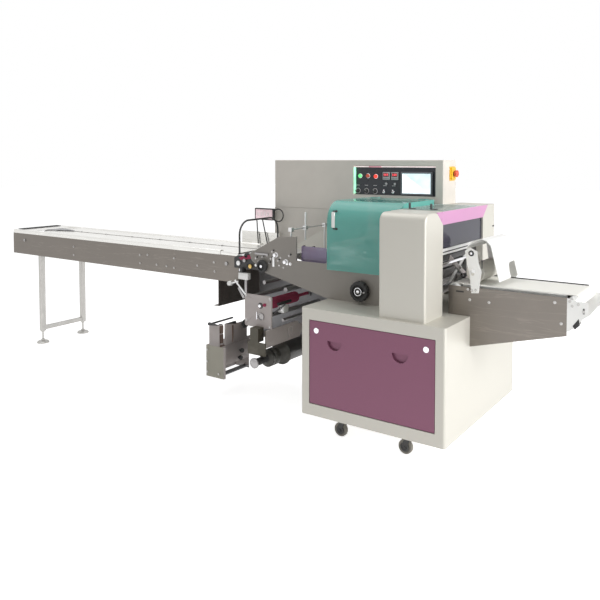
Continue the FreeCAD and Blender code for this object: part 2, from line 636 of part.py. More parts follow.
def jaw(z):
    """Jaw shaft with two opposite crimp bars, each held by end clamps, and collars at the bearings."""
    shaft = rod_y(JAW_X, z, JAW_SHAFT, COLUMN_INSIDE + SEAT_GAP, REAR_COLUMN_Y - SEAT_GAP)
    bar = plate_y(crimp_outline(z), JAW_Y0, JAW_Y1)
    relief = box(JAW_X - JAW_WIDTH, JAW_X + JAW_WIDTH, JAW_Y0 + 40, JAW_Y1 - 40, z + JAW_SHAFT - 2,
                 z + JAW_SHAFT + 9)
    window = relief.common(box(JAW_X - JAW_WIDTH, JAW_X - 5, JAW_Y0, JAW_Y1, z, z + JAW_RADIUS))
    window = window.fuse(relief.common(box(JAW_X + 5, JAW_X + JAW_WIDTH, JAW_Y0, JAW_Y1, z, z + JAW_RADIUS)))
    bar = bar.cut(window)
    other = bar.copy()
    other.rotate(V(JAW_X, 0, z), Y_AXIS, 180)
    collars = [rod_y(JAW_X, z, JAW_SHAFT + 9, y - 9, y + 9) for y in (JAW_Y0 - 12, JAW_Y1 + 12)]
    return fused([shaft, bar, other] + collars)


BEARING_TOP = UPPER_JAW_Z + 44
BEARING_FOOT = CABINET_TOP


def jaw_bearings():
    """Bearing pedestals with a slot between the two spindle blocks and spring caps on top."""
    blocks = []
    for y0 in (COLUMN_INSIDE, REAR_COLUMN_Y - BEARING_DEPTH):
        y1 = y0 + BEARING_DEPTH
        half = BEARING_WIDTH / 2
        block = box(JAW_X - half, JAW_X + half, y0, y1, BEARING_FOOT, BEARING_TOP)
        block = round_edges(block, 8.0, lambda e: along(e, Y_AXIS) and middle(e).z > BEARING_TOP - 1)
        for z in (UPPER_JAW_Z, LOWER_JAW_Z):
            block = block.cut(rod_y(JAW_X, z, JAW_SHAFT + RUNNING_FIT, y0, y1))
        block = block.cut(box(JAW_X - half, JAW_X + half, y0, y1, SEAL_HEIGHT - 4, SEAL_HEIGHT + 4)
                          .common(box(JAW_X - half + 14, JAW_X + half - 14, y0, y1, 0, HOUSING_TOP)))
        caps = [rod_z(JAW_X + side * 26, (y0 + y1) / 2, 9, BEARING_TOP, BEARING_TOP + 34) for side in (-1, 1)]
        blocks.append(fused([block] + caps))
    return group(blocks)


# ---------------------------------------------------------------- guard hood and fin-seal unit
HOOD_X0 = 3.0
HOOD_X1 = HOUSING_X - 6
HOOD_HINGE_Y = HOOD_BACK + 10
HOOD_HINGE_Z = HOOD_TOP - HINGE_RADIUS


def hood_wire(inset):
    """Front, bend and top of the hood as a path in the (y, z) plane, set in by a distance."""
    y0, z1, bend = HOOD_FRONT + inset, HOOD_TOP - inset, HOOD_BEND - inset
    diagonal = bend * (1 - math.sqrt(0.5))
    front = Part.makeLine(V(0, y0, HOOD_BOTTOM), V(0, y0, z1 - bend))
    corner = Part.Arc(V(0, y0, z1 - bend), V(0, y0 + diagonal, z1 - diagonal), V(0, y0 + bend, z1)).toShape()
    top = Part.makeLine(V(0, y0 + bend, z1), V(0, HOOD_BACK, z1))
    return [front, corner, top]


def hood_block(inset, x0, x1):
    """Solid under the hood's outline, down to its lower edge."""
    edges = hood_wire(inset)
    edges.append(Part.makeLine(V(0, HOOD_BACK, HOOD_TOP - inset), V(0, HOOD_BACK, HOOD_BOTTOM)))
    edges.append(Part.makeLine(V(0, HOOD_BACK, HOOD_BOTTOM), V(0, HOOD_FRONT + inset, HOOD_BOTTOM)))
    solid = Part.Face(Part.Wire(edges)).extrude(V(x1 - x0, 0, 0))
    return solid.translated(V(x0, 0, 0))


def guard_hood():
    """One bent acrylic sheet with end walls, open below and at the back, on two hinge leaves."""
    outer = hood_block(0, HOOD_X0, HOOD_X1)
    inner = hood_block(HOOD_SHEET, HOOD_X0 + HOOD_SHEET, HOOD_X1 - HOOD_SHEET)
    shell = outer.cut(inner)
    side_clear = MOVING_GAP + 2
    behind_front = FRONT_PLATE_Y - side_clear
    tunnel = box(HOOD_X0, HOOD_X1, behind_front, HOOD_BACK, HOOD_BOTTOM, HOOD_TUNNEL)
    shell = shell.cut(tunnel)
    leaves = []
    for x in (HOOD_X0 + 60, HOOD_X1 - 60):
        knuckle = rod_x(HOOD_HINGE_Y, HOOD_HINGE_Z, HINGE_RADIUS, x - 25, x + 25)
        leaf = box(x - 25, x + 25, HOOD_BACK - 30, HOOD_HINGE_Y, HOOD_TOP, HOOD_TOP + 2.5)
        leaf = leaf.fuse(box(x - 25, x + 25, HOOD_BACK, HOOD_HINGE_Y, HOOD_HINGE_Z, HOOD_TOP + 2.5))
        leaves.append(leaf.fuse(knuckle).cut(rod_x(HOOD_HINGE_Y, HOOD_HINGE_Z, 3, x - 25, x + 25)))
    return fused([shell] + leaves)


def hood_hinges():
    """Fixed hinge knuckles and pins on the face of the rear box."""
    hinges = []
    for x in (HOOD_X0 + 60, HOOD_X1 - 60):
        pin = rod_x(HOOD_HINGE_Y, HOOD_HINGE_Z, 3 - RUNNING_FIT, x - 45, x + 45)
        parts = [pin]
        for x0 in (x - 45, x + 26):
            parts.append(rod_x(HOOD_HINGE_Y, HOOD_HINGE_Z, HINGE_RADIUS, x0, x0 + 19))
            parts.append(box(x0, x0 + 19, HOOD_HINGE_Y, REAR_BOX_Y, HOOD_HINGE_Z - HINGE_RADIUS,
                             HOOD_HINGE_Z - 2))
        parts.append(box(x - 45, x + 45, REAR_BOX_Y - 3, REAR_BOX_Y, HOOD_HINGE_Z - 30, HOOD_HINGE_Z - 2))
        hinges.append(fused(parts))
    return group(hinges)


def fin_seal_unit():
    """Heater body over the product line with three pairs of vertical wheels that pull and weld the fin."""
    y0, y1, z0 = LINE_Y - 62, LINE_Y + 62, DECK_HEIGHT + 62
    x0, x1 = HOOD_X0 + 67, HOOD_X1 - 61
    body = box(x0, x1, y0, y1, z0, z0 + 26)
    post = box(x1 - 80, x1 - 40, y1, REAR_PLATE_Y, z0, z0 + 26)
    foot = box(x1 - 80, x1 - 40, REAR_PLATE_Y - 14, REAR_PLATE_Y, DECK_HEIGHT - 7, z0)
    parts = [body, post, foot]
    for n in range(3):
        x = x0 + 50 + n * 95
        for side in (-1, 1):
            y = LINE_Y + side * 29
            parts.append(rod_z(x, y, 8, z0 - 30, z0 + 60))
            parts.append(rod_z(x, y, 27, z0 - 30, z0 - 16))
            parts.append(rod_z(x, y, 17, z0 + 26, z0 + 48))
    return fused(parts)


# ---------------------------------------------------------------- hand wheel
def hand_wheel():
    """Black star wheel with a metal centre, on the shaft that sets the film timing."""
    y1 = FRONT_PLATE_Y - HANDWHEEL_STAND
    y0 = y1 - HANDWHEEL_DEPTH
    rim = rod_y(HANDWHEEL_X, HANDWHEEL_Z, HANDWHEEL_RADIUS, y0, y1)
    rim = round_edges(rim, 6.0, lambda e: isinstance(e.Curve, Part.Circle) and middle(e).y < y0 + 0.1)
    rim = rim.cut(rod_y(HANDWHEEL_X, HANDWHEEL_Z, HANDWHEEL_RADIUS - 18, y0, y0 + 10))
    lobes = 8
    for n in range(lobes):
        angle = 2 * math.pi * n / lobes
        reach = HANDWHEEL_RADIUS + 4
        rim = rim.cut(rod_y(HANDWHEEL_X + reach * math.cos(angle), HANDWHEEL_Z + reach * math.sin(angle),
                            9, y0, y1))
    hub = rod_y(HANDWHEEL_X, HANDWHEEL_Z, 22, y0 - 4, y1)
    shaft = rod_y(HANDWHEEL_X, HANDWHEEL_Z, HANDWHEEL_SHAFT, y1, FRONT_PLATE_Y + FRAME_PLATE + 30)
    return fused([rim, hub, shaft])


def hand_wheel_bearing():
    """Flanged bush behind the front plate that carries the hand-wheel shaft."""
    y0 = FRONT_PLATE_Y + FRAME_PLATE
    flange = rod_y(HANDWHEEL_X, HANDWHEEL_Z, 34, y0, y0 + 8)
    bush = rod_y(HANDWHEEL_X, HANDWHEEL_Z, 22, y0, y0 + 22).fuse(flange)
    bore = rod_y(HANDWHEEL_X, HANDWHEEL_Z, HANDWHEEL_SHAFT + RUNNING_FIT, y0, y0 + 22)
    return bush.cut(bore).removeSplitter()


# ---------------------------------------------------------------- infeed conveyor
INFEED_REAR = INFEED_FRONT + INFEED_WIDTH
INFEED_BOTTOM = INFEED_TOP - INFEED_DEPTH
INFEED_CENTRE = (INFEED_FRONT + INFEED_REAR) / 2
CHAIN_Z = DECK_HEIGHT - DECK_SHEET - CHAIN_RADIUS - CHAIN_THICK - LUG_HEIGHT + 8
SHAFT_RADIUS = 12.0
BOLT_ROWS = [(-2322, (-61, -124)), (-1582, (-64, -122)), (-1504, (-57,)), (-1414, (-118,)), (-1318, (-119,)),
             (-1247, (-59, -124)), (-1033, (-89,)), (-887, (-55,)), (-881, (-114,))]
BOLT_HOLE = 4.0


def infeed_side_plates():
    """Two stainless side plates with bolt holes in small groups and holes for the chain shafts."""
    plates = []
    for y0 in (INFEED_FRONT, INFEED_REAR - INFEED_SHEET):
        plate = box(INFEED_END, INFEED_INNER, y0, y0 + INFEED_SHEET, INFEED_BOTTOM, INFEED_TOP)
        for x, drops in BOLT_ROWS:
            for drop in drops:
                plate = plate.cut(rod_y(x, INFEED_TOP + drop, BOLT_HOLE, y0, y0 + INFEED_SHEET))
        for x in (CHAIN_TAIL_X, CHAIN_HEAD_X):
            plate = plate.cut(rod_y(x, CHAIN_Z, SHAFT_RADIUS + SEAT_GAP, y0, y0 + INFEED_SHEET))
        plates.append(plate)
    return group(plates)


def infeed_rails():
    """Rounded top rails folded over the side plates, and the end sheet between them."""
    rails = []
    for y0 in (INFEED_FRONT - 6, INFEED_REAR + 6 - RAIL_WIDTH):
        rail = box(INFEED_END + 12, RAIL_END, y0, y0 + RAIL_WIDTH, INFEED_TOP, INFEED_TOP + RAIL_HEIGHT)
        rail = round_edges(rail, 9.0, lambda e: along(e, X_AXIS) and middle(e).z > INFEED_TOP + 1)
        rails.append(rail)
    return group(rails)


def infeed_deck():
    """Two deck strips beside the chain slot, with edges turned down onto the side plates."""
    y_in, y_out = INFEED_CENTRE - SLOT_WIDTH / 2, INFEED_FRONT + INFEED_SHEET
    outline = [(y_out, INFEED_TOP), (y_out + DECK_SHEET, INFEED_TOP),
               (y_out + DECK_SHEET, DECK_HEIGHT - DECK_SHEET),
               (y_in - DECK_SHEET, DECK_HEIGHT - DECK_SHEET), (y_in - DECK_SHEET, DECK_HEIGHT - 14),
               (y_in, DECK_HEIGHT - 14), (y_in, DECK_HEIGHT), (y_out, DECK_HEIGHT)]
    clear = INFEED_FRONT - 6 + RAIL_WIDTH - y_out
    strip = plate_x(outline, DECK_START, INFEED_INNER)
    under_rail = box(DECK_START, RAIL_END, y_out, y_out + clear, INFEED_TOP - 1, DECK_HEIGHT + 1)
    strip = strip.cut(under_rail)
    strip = strip.cut(rod_z(ARCH_X, y_out + ARCH_ROD, ARCH_ROD + SEAT_GAP, INFEED_TOP, DECK_HEIGHT))
    strip = strip.cut(box(ARCH_X - 14 - SEAT_GAP, ARCH_X + 14 + SEAT_GAP, y_out, y_out + DECK_SHEET,
                          INFEED_TOP - 22, INFEED_TOP))
    mirror = strip.mirror(V(0, INFEED_CENTRE, 0), Y_AXIS)
    end_plate = box(INFEED_END + 12, INFEED_END + 260, INFEED_FRONT - 6 + RAIL_WIDTH,
                    INFEED_REAR + 6 - RAIL_WIDTH,
                    INFEED_TOP + RAIL_HEIGHT - 6, INFEED_TOP + RAIL_HEIGHT - 3)
    return group([strip, mirror, end_plate])


def infeed_chain():
    """Pusher chain as one closed loop round both sprockets, with low lugs at an even pitch."""
    y0, y1 = INFEED_CENTRE - CHAIN_WIDTH / 2, INFEED_CENTRE + CHAIN_WIDTH / 2

    def stadium(radius):
        ends = [rod_y(x, CHAIN_Z, radius, y0, y1) for x in (CHAIN_TAIL_X, CHAIN_HEAD_X)]
        middle_block = box(CHAIN_TAIL_X, CHAIN_HEAD_X, y0, y1, CHAIN_Z - radius, CHAIN_Z + radius)
        return fused(ends + [middle_block])

    outer = CHAIN_RADIUS + CHAIN_THICK
    loop = stadium(outer).cut(stadium(CHAIN_RADIUS))
    lugs = []
    count = int((CHAIN_HEAD_X - CHAIN_TAIL_X) / LUG_PITCH)
    for n in range(count):
        x = CHAIN_TAIL_X + (n + 0.5) * LUG_PITCH
        top = [(x - 12, CHAIN_Z + outer - 1), (x + 12, CHAIN_Z + outer - 1),
               (x + 6, CHAIN_Z + outer + LUG_HEIGHT),
               (x, CHAIN_Z + outer + LUG_HEIGHT)]
        lugs.append(plate_y(top, y0 + 3, y1 - 3))
        low = [(x, 2 * CHAIN_Z - z) for x, z in top]
        lugs.append(plate_y(low, y0 + 3, y1 - 3))
    return fused([loop] + lugs)


def infeed_shafts():
    """Sprocket shafts at both ends of the chain, with flanged bearings outside the plates."""
    shafts = []
    for x in (CHAIN_TAIL_X, CHAIN_HEAD_X):
        shaft = rod_y(x, CHAIN_Z, SHAFT_RADIUS, INFEED_FRONT - 6, INFEED_REAR + 3)
        wheel = rod_y(x, CHAIN_Z, CHAIN_RADIUS, INFEED_CENTRE - 4, INFEED_CENTRE + 4)
        hub = rod_y(x, CHAIN_Z, 24, INFEED_CENTRE - 22, INFEED_CENTRE + 22)
        parts = [shaft, wheel, hub]
        for y0 in (INFEED_FRONT + INFEED_SHEET, INFEED_REAR - INFEED_SHEET - 12):
            parts.append(rod_y(x, CHAIN_Z, 30, y0, y0 + 12))
        shafts.append(fused(parts))
    return group(shafts)


def leg_y():
    inset = INFEED_SHEET + LEG_SIZE / 2
    return (INFEED_FRONT + inset, INFEED_REAR - inset)


def infeed_legs():
    """Two square tube legs with a cross tube, bolted inside the side plates."""
    half, wall = LEG_SIZE / 2, 2.5
    parts = []
    for y in leg_y():
        tube = box(LEG_X - half, LEG_X + half, y - half, y + half, LEG_BOTTOM, INFEED_TOP - 40)
        tube = round_edges(tube, 4.0, lambda e: along(e, Z_AXIS))
        parts.append(tube.cut(box(LEG_X - half + wall, LEG_X + half - wall, y - half + wall, y + half - wall,
                                  LEG_BOTTOM + 6, INFEED_TOP - 46)))
    y0, y1 = leg_y()
    parts.append(box(LEG_X - half + 4, LEG_X + half - 4, y0 + half, y1 - half, LEG_BOTTOM + 8,
                     LEG_BOTTOM + 38))
    return group(parts)


def infeed_feet():
    """Bell-shaped levelling feet with a threaded stem and a lock nut."""
    feet = []
    for y in leg_y():
        outline = [(0, 0), (FOOT_RADIUS, 0), (FOOT_RADIUS, 7), (FOOT_RADIUS - 8, FOOT_HEIGHT - 6),
                   (STEM_RADIUS + 8, FOOT_HEIGHT), (STEM_RADIUS + 8, FOOT_HEIGHT + 8),
                   (STEM_RADIUS, FOOT_HEIGHT + 12),
                   (STEM_RADIUS, LEG_BOTTOM - 10), (STEM_RADIUS + 6, LEG_BOTTOM - 10),
                   (STEM_RADIUS + 6, LEG_BOTTOM), (0, LEG_BOTTOM)]
        points = [V(LEG_X + out, y, z) for out, z in outline]
        feet.append(ring_profile(points, V(LEG_X, y, 0), Z_AXIS))
    return group(feet)


def infeed_drop_plate():
    """Folded plate that hangs from the infeed in front of the film carriage."""
    y0, y1 = INFEED_FRONT + INFEED_SHEET, INFEED_REAR - INFEED_SHEET
    plate = box(DROP_PLATE_X - SHEET, DROP_PLATE_X, y0, y1, DROP_PLATE_BOTTOM, INFEED_BOTTOM + 30)
    flange = box(DROP_PLATE_X - DROP_FLANGE, DROP_PLATE_X, y0, y1, DROP_PLATE_BOTTOM,
                 DROP_PLATE_BOTTOM + SHEET)
    return fused([plate, flange])


def infeed_guides():
    """Raised edge along the rear of the deck near the wrapping section."""
    y1 = INFEED_REAR - INFEED_SHEET
    x0, top = INFEED_INNER - 326, DECK_HEIGHT + 87
    web = box(x0, INFEED_INNER, y1 - DECK_SHEET, y1, DECK_HEIGHT, top)
    lip = box(x0, INFEED_INNER, y1 - 8, y1, top - DECK_SHEET, top)
    return fused([web, lip])


# ---------------------------------------------------------------- arch, display, former
TABLE_TOP = DECK_HEIGHT - 7
TABLE_LAP = 20.0


def bent_rod(points, radius, bend):
    """Round rod through a chain of points, with every inner corner bent to a radius."""
    edges, start = [], points[0]
    for before, corner, after in zip(points, points[1:], points[2:]):
        back, ahead = (before - corner).normalize(), (after - corner).normalize()
        half = back.getAngle(ahead) / 2
        tangent = bend / math.tan(half)
        centre = corner + (back + ahead).normalize() * (bend / math.sin(half))
        first, last = corner + back * tangent, corner + ahead * tangent
        edges.append(Part.makeLine(start, first))
        edges.append(Part.Arc(first, centre + (corner - centre).normalize() * bend, last).toShape())
        start = last
    edges.append(Part.makeLine(start, points[-1]))
    direction = (points[1] - points[0]).normalize()
    section = Part.Wire(Part.makeCircle(radius, points[0], direction))
    return Part.Wire(edges).makePipeShell([section], True, False)


def product_arch():
    """Bent rod over the deck with a foot clamp on each side plate."""
    y0, y1 = INFEED_FRONT + INFEED_SHEET + ARCH_ROD, INFEED_REAR - INFEED_SHEET - 14 - ARCH_ROD
    path = [V(ARCH_X, y0, INFEED_TOP - 20), V(ARCH_X, y0, ARCH_TOP), V(ARCH_X, y1, ARCH_TOP),
            V(ARCH_X, y1, DECK_HEIGHT)]
    rod = bent_rod(path, ARCH_ROD, ARCH_BEND)
    foot = box(ARCH_X - 14, ARCH_X + 14, y0 - ARCH_ROD, y0 + 12, INFEED_TOP - 22, INFEED_TOP - 2)
    return fused([rod, foot])


def counter_display():
    """Pack counter in a thin frame on two leaning legs, with a round sensor ring at its end."""
    x0, x1, y = DISPLAY_X, DISPLAY_X + DISPLAY_LENGTH, INFEED_REAR - 16
    z0, z1 = DECK_HEIGHT + 171, DECK_HEIGHT + 251
    body = box(x0, x1, y - 12, y + 8, z0, z1)
    body = round_edges(body, 3.0, lambda e: along(e, Y_AXIS))
    body = body.cut(box(x0 + 8, x1 - 8, y - 12, y - 9, z0 + 8, z1 - 8))
    legs = []
    for top, lean, ground in ((x0 + 8, 12, INFEED_TOP + RAIL_HEIGHT), (x0 + 57, 45, DECK_HEIGHT)):
        foot = top + lean
        below = V(foot, y, ground) + (V(foot, y, ground) - V(top, y, z0 + 4)) * 0.05
        leg = slanted_rod(V(top, y, z0 + 4), below, 4.0)
        legs.append(leg.cut(box(foot - 30, foot + 30, y - 20, y + 20, ground - 30, ground)))
    ring = Part.makeTorus(42, 4, V(x1 + 34, y - 2, (z0 + z1) / 2 - 3), Y_AXIS)
    return fused([body, ring] + legs)


def former_section(x, half, rise, lip):
    """Closed outline of the folded sheet at one station."""
    z0, t = TABLE_TOP, FORMER_SHEET
    right = [(half, z0), (half, z0 + rise), (half - lip, z0 + rise), (half - lip, z0 + rise - t),
             (half - t, z0 + rise - t), (half - t, z0 + t)]
    left = [(-y, z) for y, z in reversed(right)]
    points = [V(x, LINE_Y + y, z) for y, z in right + left]
    return Part.makePolygon(points + [points[0]])


def bag_former():
    """Sheet that folds the flat web round the packs: wide and low where it enters, closed at the exit."""
    stations = [(FORMER_START, 165, 16, 8), ((FORMER_START + FORMER_END) / 2, 118, 52, 34),
                (FORMER_END, 84, 60, 78)]
    sections = [former_section(*station) for station in stations]
    return Part.makeLoft(sections, True, True)


def wrapping_table():
    """Flat tables between the side plates, before the former and under the fin-seal wheels."""
    y0, y1 = FRONT_PLATE_Y + FRAME_PLATE, REAR_PLATE_Y
    tables = []
    inner = ARCH_X + ARCH_ROD + MOVING_GAP
    for x0, x1 in ((inner, FORMER_START + TABLE_LAP), (FORMER_END - TABLE_LAP, HOUSING_X - 7)):
        tables.append(box(x0, x1, y0, y1, TABLE_TOP - SHEET, TABLE_TOP))
    return group(tables)


def former_guard():
    """Tinted acrylic sheet in front of the former on two stand-offs."""
    x0, x1 = POST_X + 11, FORMER_END - TABLE_LAP - 1
    sheet = box(x0, x1, GUARD_FRONT, GUARD_FRONT + 4, SHELF_HEIGHT - 36, SHELF_HEIGHT + 84)
    sheet = round_edges(sheet, 8.0, lambda e: along(e, Y_AXIS))
    stands = [rod_y(x, SHELF_HEIGHT - 22, 7, FRONT_PLATE_Y + FRAME_PLATE, GUARD_FRONT)
              for x in (x0 + 18, x1 - 18)]
    return fused([sheet] + stands)


def former_gantry():
    """Cross rod on two posts over the former, with a clamped vertical finger."""
    y0, y1, y_mid, z0 = LINE_Y - 183, LINE_Y + 183, LINE_Y - 33, TABLE_TOP
    x = GANTRY_X
    cross = rod_y(x, GANTRY_HEIGHT, GANTRY_ROD, y0 - 10, y1 + 10)
    posts = [rod_z(x, y, GANTRY_ROD, z0, GANTRY_HEIGHT + 12) for y in (y0, y1)]
    finger = rod_z(x, y_mid, GANTRY_ROD, GANTRY_HEIGHT - 76, GANTRY_HEIGHT + 95)
    clamps = [box(x - 12, x + 12, y - 12, y + 12, GANTRY_HEIGHT - 12, GANTRY_HEIGHT + 12)
              for y in (y0, y_mid, y1)]
    feet = [box(x - 50, x + 12, y - 12, y + 12, z0, z0 + 10) for y in (y0, y1)]
    return fused([cross, finger] + posts + clamps + feet)


# ---------------------------------------------------------------- film carriage
CARRIAGE_BACK = CARRIAGE_FRONT + CARRIAGE_PLATE
FRONT_BLOCK = dict(x0=FEED_ROLLER_X - 156, x1=FEED_ROLLER_X + 49, z0=FEED_ROLLER_Z - 143,
                   z1=FEED_ROLLER_Z + 54)
GUIDE_ROLLERS = [(-560, 34, 14, 0), (-545, -111, 14, 0), (-500, 120, 12, 60), (-360, 84, 14, 90),
                 (-300, 178, 14, 14), (-362, -44, 12, 60), (-345, -88, 9, 40)]
ARM_X = -400.0


def film_rear_plate():
    """Rear plate of the film carriage with a bearing boss for the reel shaft and the feed roller."""
    y0 = REAR_PLATE_Y - FILM_PLATE
    left = DROP_PLATE_X + 3
    under_nose = NOSE_HEIGHT - 78
    outline = [(left, FILM_REAR_BOTTOM + 90), (left + 80, FILM_REAR_BOTTOM), (-120, FILM_REAR_BOTTOM),
               (0, FILM_REAR_BOTTOM + 95), (0, under_nose - 12), (-250, under_nose),
               (INFEED_INNER + 4, under_nose),
               (INFEED_INNER + 4, INFEED_BOTTOM), (left, INFEED_BOTTOM)]
    plate = plate_y(outline, y0, REAR_PLATE_Y)
    boss = rod_y(REEL_X, REEL_Z, REEL_SHAFT + 18, y0 - 40, y0)
    hub = rod_y(FEED_ROLLER_X, FEED_ROLLER_Z, 24, y0 - 14, y0)
    plate = fused([plate, boss, hub])
    plate = plate.cut(rod_y(REEL_X, REEL_Z, REEL_SHAFT + RUNNING_FIT, y0 - 40, REAR_PLATE_Y))
    return plate.cut(rod_y(FEED_ROLLER_X, FEED_ROLLER_Z, 10 + RUNNING_FIT, y0 - 14, REAR_PLATE_Y))


def film_front_plate():
    """Front plate that carries the outer ends of the feed and guide rollers."""
    plate = box(FRONT_BLOCK["x0"], FRONT_BLOCK["x1"], CARRIAGE_FRONT, CARRIAGE_BACK,
                FRONT_BLOCK["z0"], FRONT_BLOCK["z1"])
    plate = round_edges(plate, 10.0, lambda e: along(e, Y_AXIS))
    return plate.cut(rod_y(FEED_ROLLER_X, FEED_ROLLER_Z, 10 + RUNNING_FIT, CARRIAGE_FRONT, CARRIAGE_BACK))


def carriage_bracket():
    """Plate over the reel stub, a block up to the front plate and a slotted arm back to the rear plate."""
    y0, z_arm = CARRIAGE_FRONT - 54, REEL_Z + 124
    face = box(ARM_X - 130, ARM_X + 4, y0, y0 + 8, REEL_Z + 35, REEL_Z + 112)
    block = box(ARM_X - 112, ARM_X - 50, y0, CARRIAGE_FRONT, REEL_Z + 112, FRONT_BLOCK["z0"] + 7)
    profile = [(y0 + 8, REEL_Z + 84), (y0 + 354, REEL_Z + 84), (y0 + 384, z_arm),
               (REAR_PLATE_Y - FILM_PLATE, z_arm),
               (REAR_PLATE_Y - FILM_PLATE, z_arm + 40), (y0 + 354, z_arm + 40), (y0 + 330, FRONT_BLOCK["z0"]),
               (y0 + 8, FRONT_BLOCK["z0"])]
    arm = plate_x(profile, ARM_X - 4, ARM_X + 4)
    for y in (y0 + 226, y0 + 262):
        slot = box(ARM_X - 4, ARM_X + 4, y, y + 12, REEL_Z + 100, REEL_Z + 160)
        arm = arm.cut(round_edges(slot, 5.0, lambda e: along(e, X_AXIS)))
    return fused([face, block, arm])


def film_guide_rollers():
    """Fixed guide rods of the film path, held by the rear film plate."""
    y1 = REAR_PLATE_Y - FILM_PLATE
    return group([rod_y(x, FEED_ROLLER_Z + rise, radius, CARRIAGE_BACK + inset, y1)
                  for x, rise, radius, inset in GUIDE_ROLLERS])


def feed_roller():
    """Rubber-covered film feed roller on its shaft."""
    y0, y1 = CARRIAGE_BACK + MOVING_GAP, REAR_PLATE_Y - FILM_PLATE - 150
    cover = rod_y(FEED_ROLLER_X, FEED_ROLLER_Z, FEED_ROLLER_RADIUS, y0, y1)
    cover = round_edges(cover, 3.0, lambda e: isinstance(e.Curve, Part.Circle) and e.Length > 10)
    shaft = rod_y(FEED_ROLLER_X, FEED_ROLLER_Z, 10, CARRIAGE_FRONT - 8, REAR_PLATE_Y - 1)
    return fused([cover, shaft])


def film_reel():
    """Reel shaft with a bright end disc, a stepped clamping cone and the core that the film roll sits on."""
    y_core = REAR_PLATE_Y - FILM_PLATE - 46
    steps = [(REEL_FRONT, 0), (REEL_FRONT, 27), (REEL_FRONT + 4, 31), (REEL_FRONT + 12, 31),
             (REEL_FRONT + 12, 22),
             (REEL_FRONT + 118, 22), (REEL_FRONT + 126, REEL_RADIUS - 8), (REEL_FRONT + 130, REEL_RADIUS),
             (REEL_FRONT + 150, REEL_RADIUS), (REEL_FRONT + 150, REEL_RADIUS - 5),
             (REEL_FRONT + 156, REEL_RADIUS - 5),
             (REEL_FRONT + 156, REEL_RADIUS), (REEL_FRONT + 200, REEL_RADIUS),
             (REEL_FRONT + 200, REEL_RADIUS - 9),
             (REEL_FRONT + 216, REEL_RADIUS - 9), (REEL_FRONT + 216, REEL_RADIUS),
             (REEL_FRONT + 270, REEL_RADIUS),
             (REEL_FRONT + 270, REEL_CORE + 10), (REEL_FRONT + 282, REEL_CORE + 10),
             (REEL_FRONT + 282, REEL_CORE),
             (y_core, REEL_CORE), (y_core, REEL_SHAFT), (REAR_PLATE_Y - 1, REEL_SHAFT), (REAR_PLATE_Y - 1, 0)]
    return ring_profile([V(REEL_X, y, REEL_Z + out) for y, out in steps], V(REEL_X, 0, REEL_Z), Y_AXIS)


def tension_unit():
    """Film tension frame: folded front cover, side walls and tray, with brake plates and rollers on top."""
    x0, x1 = CODER_X, CODER_X + CODER_LENGTH
    y0, y1, z0, z1 = CODER_FRONT, CODER_FRONT + 281, CODER_BOTTOM, CODER_TOP
    parts = [box(x0, x1 + 27, y0, y0 + SHEET, z0, z1), box(x1 + 24, x1 + 27, y0, y0 + 20, z0, z1)]
    parts += [box(x0, x0 + SHEET, y0, y1, z0, z1), box(x1 - SHEET, x1, y0, y1, z0 + 72, z1)]
    parts += [box(x0, x1, y0, y1, z1 - SHEET, z1), box(x0, x1, y1 - SHEET, y1, z0, z1)]
    parts.append(box(x0 + 24, x1 - 14, y0 + 2, y0 + 12, z1, z1 + 134))
    brake = [(y0 + 54, z1), (y0 + 262, z1), (y0 + 262, z1 + 118), (y0 + 155, z1 + 118), (y0 + 155, z1 + 135),
             (y0 + 54, z1 + 135)]
    parts.append(plate_x(brake, x1 - 12, x1 - 2))
    parts.append(rod_z(x1 - 40, y0 + 50, 13, z1, z1 + 128))
    parts.append(rod_z(x1 - 34, y0 + 190, 15, z1, z1 + 110))
    lever = [(x0 + 20, z1 + 126), (x1 - 20, z1 + 134), (x0 + 20, z1 + 142)]
    parts.append(plate_y(lever, y0 - 6, y0 + 12))
    parts.append(rod_y(x0 + 34, z1 + 134, 6, y0, y0 + 215))
    for x in (x1 - 12, x1 - 38):
        parts.append(rod_y(x, z0 + 12, 7, y0, y1))
    parts += [rod_y(x, z1 - 28, 12, y0 + SHEET, REAR_PLATE_Y - FILM_PLATE) for x in (x0 + 40, x1 - 20)]
    return fused(parts)


def tension_knobs():
    """Round adjusting knobs of the tension unit."""
    x1 = CODER_X + CODER_LENGTH
    knobs = []
    for out, rise, radius, x0 in ((221, 108, 29, x1 - 2), (186, -59, 14, x1), (171, -102, 14, x1)):
        stem = rod_x(CODER_FRONT + out, CODER_TOP + rise, radius * 0.4, x0, x0 + 12)
        head = rod_x(CODER_FRONT + out, CODER_TOP + rise, radius, x0 + 12, x0 + 30)
        head = round_edges(head, radius * 0.3, lambda e: isinstance(e.Curve, Part.Circle))
        knobs.append(fused([stem, head]))
    return group(knobs)


# ---------------------------------------------------------------- outfeed
OUTFEED_REAR = OUTFEED_FRONT + OUTFEED_WIDTH
OUTFEED_CENTRE = OUTFEED_FRONT + OUTFEED_WIDTH / 2
BELT_Z = BELT_TOP - BELT_THICK - BELT_ROLLER
BELT_Y0 = OUTFEED_FRONT + OUTFEED_SHEET + BELT_GAP
BELT_Y1 = OUTFEED_REAR - OUTFEED_SHEET - BELT_GAP
BRACKET_END = OUTFEED_END + 90.0


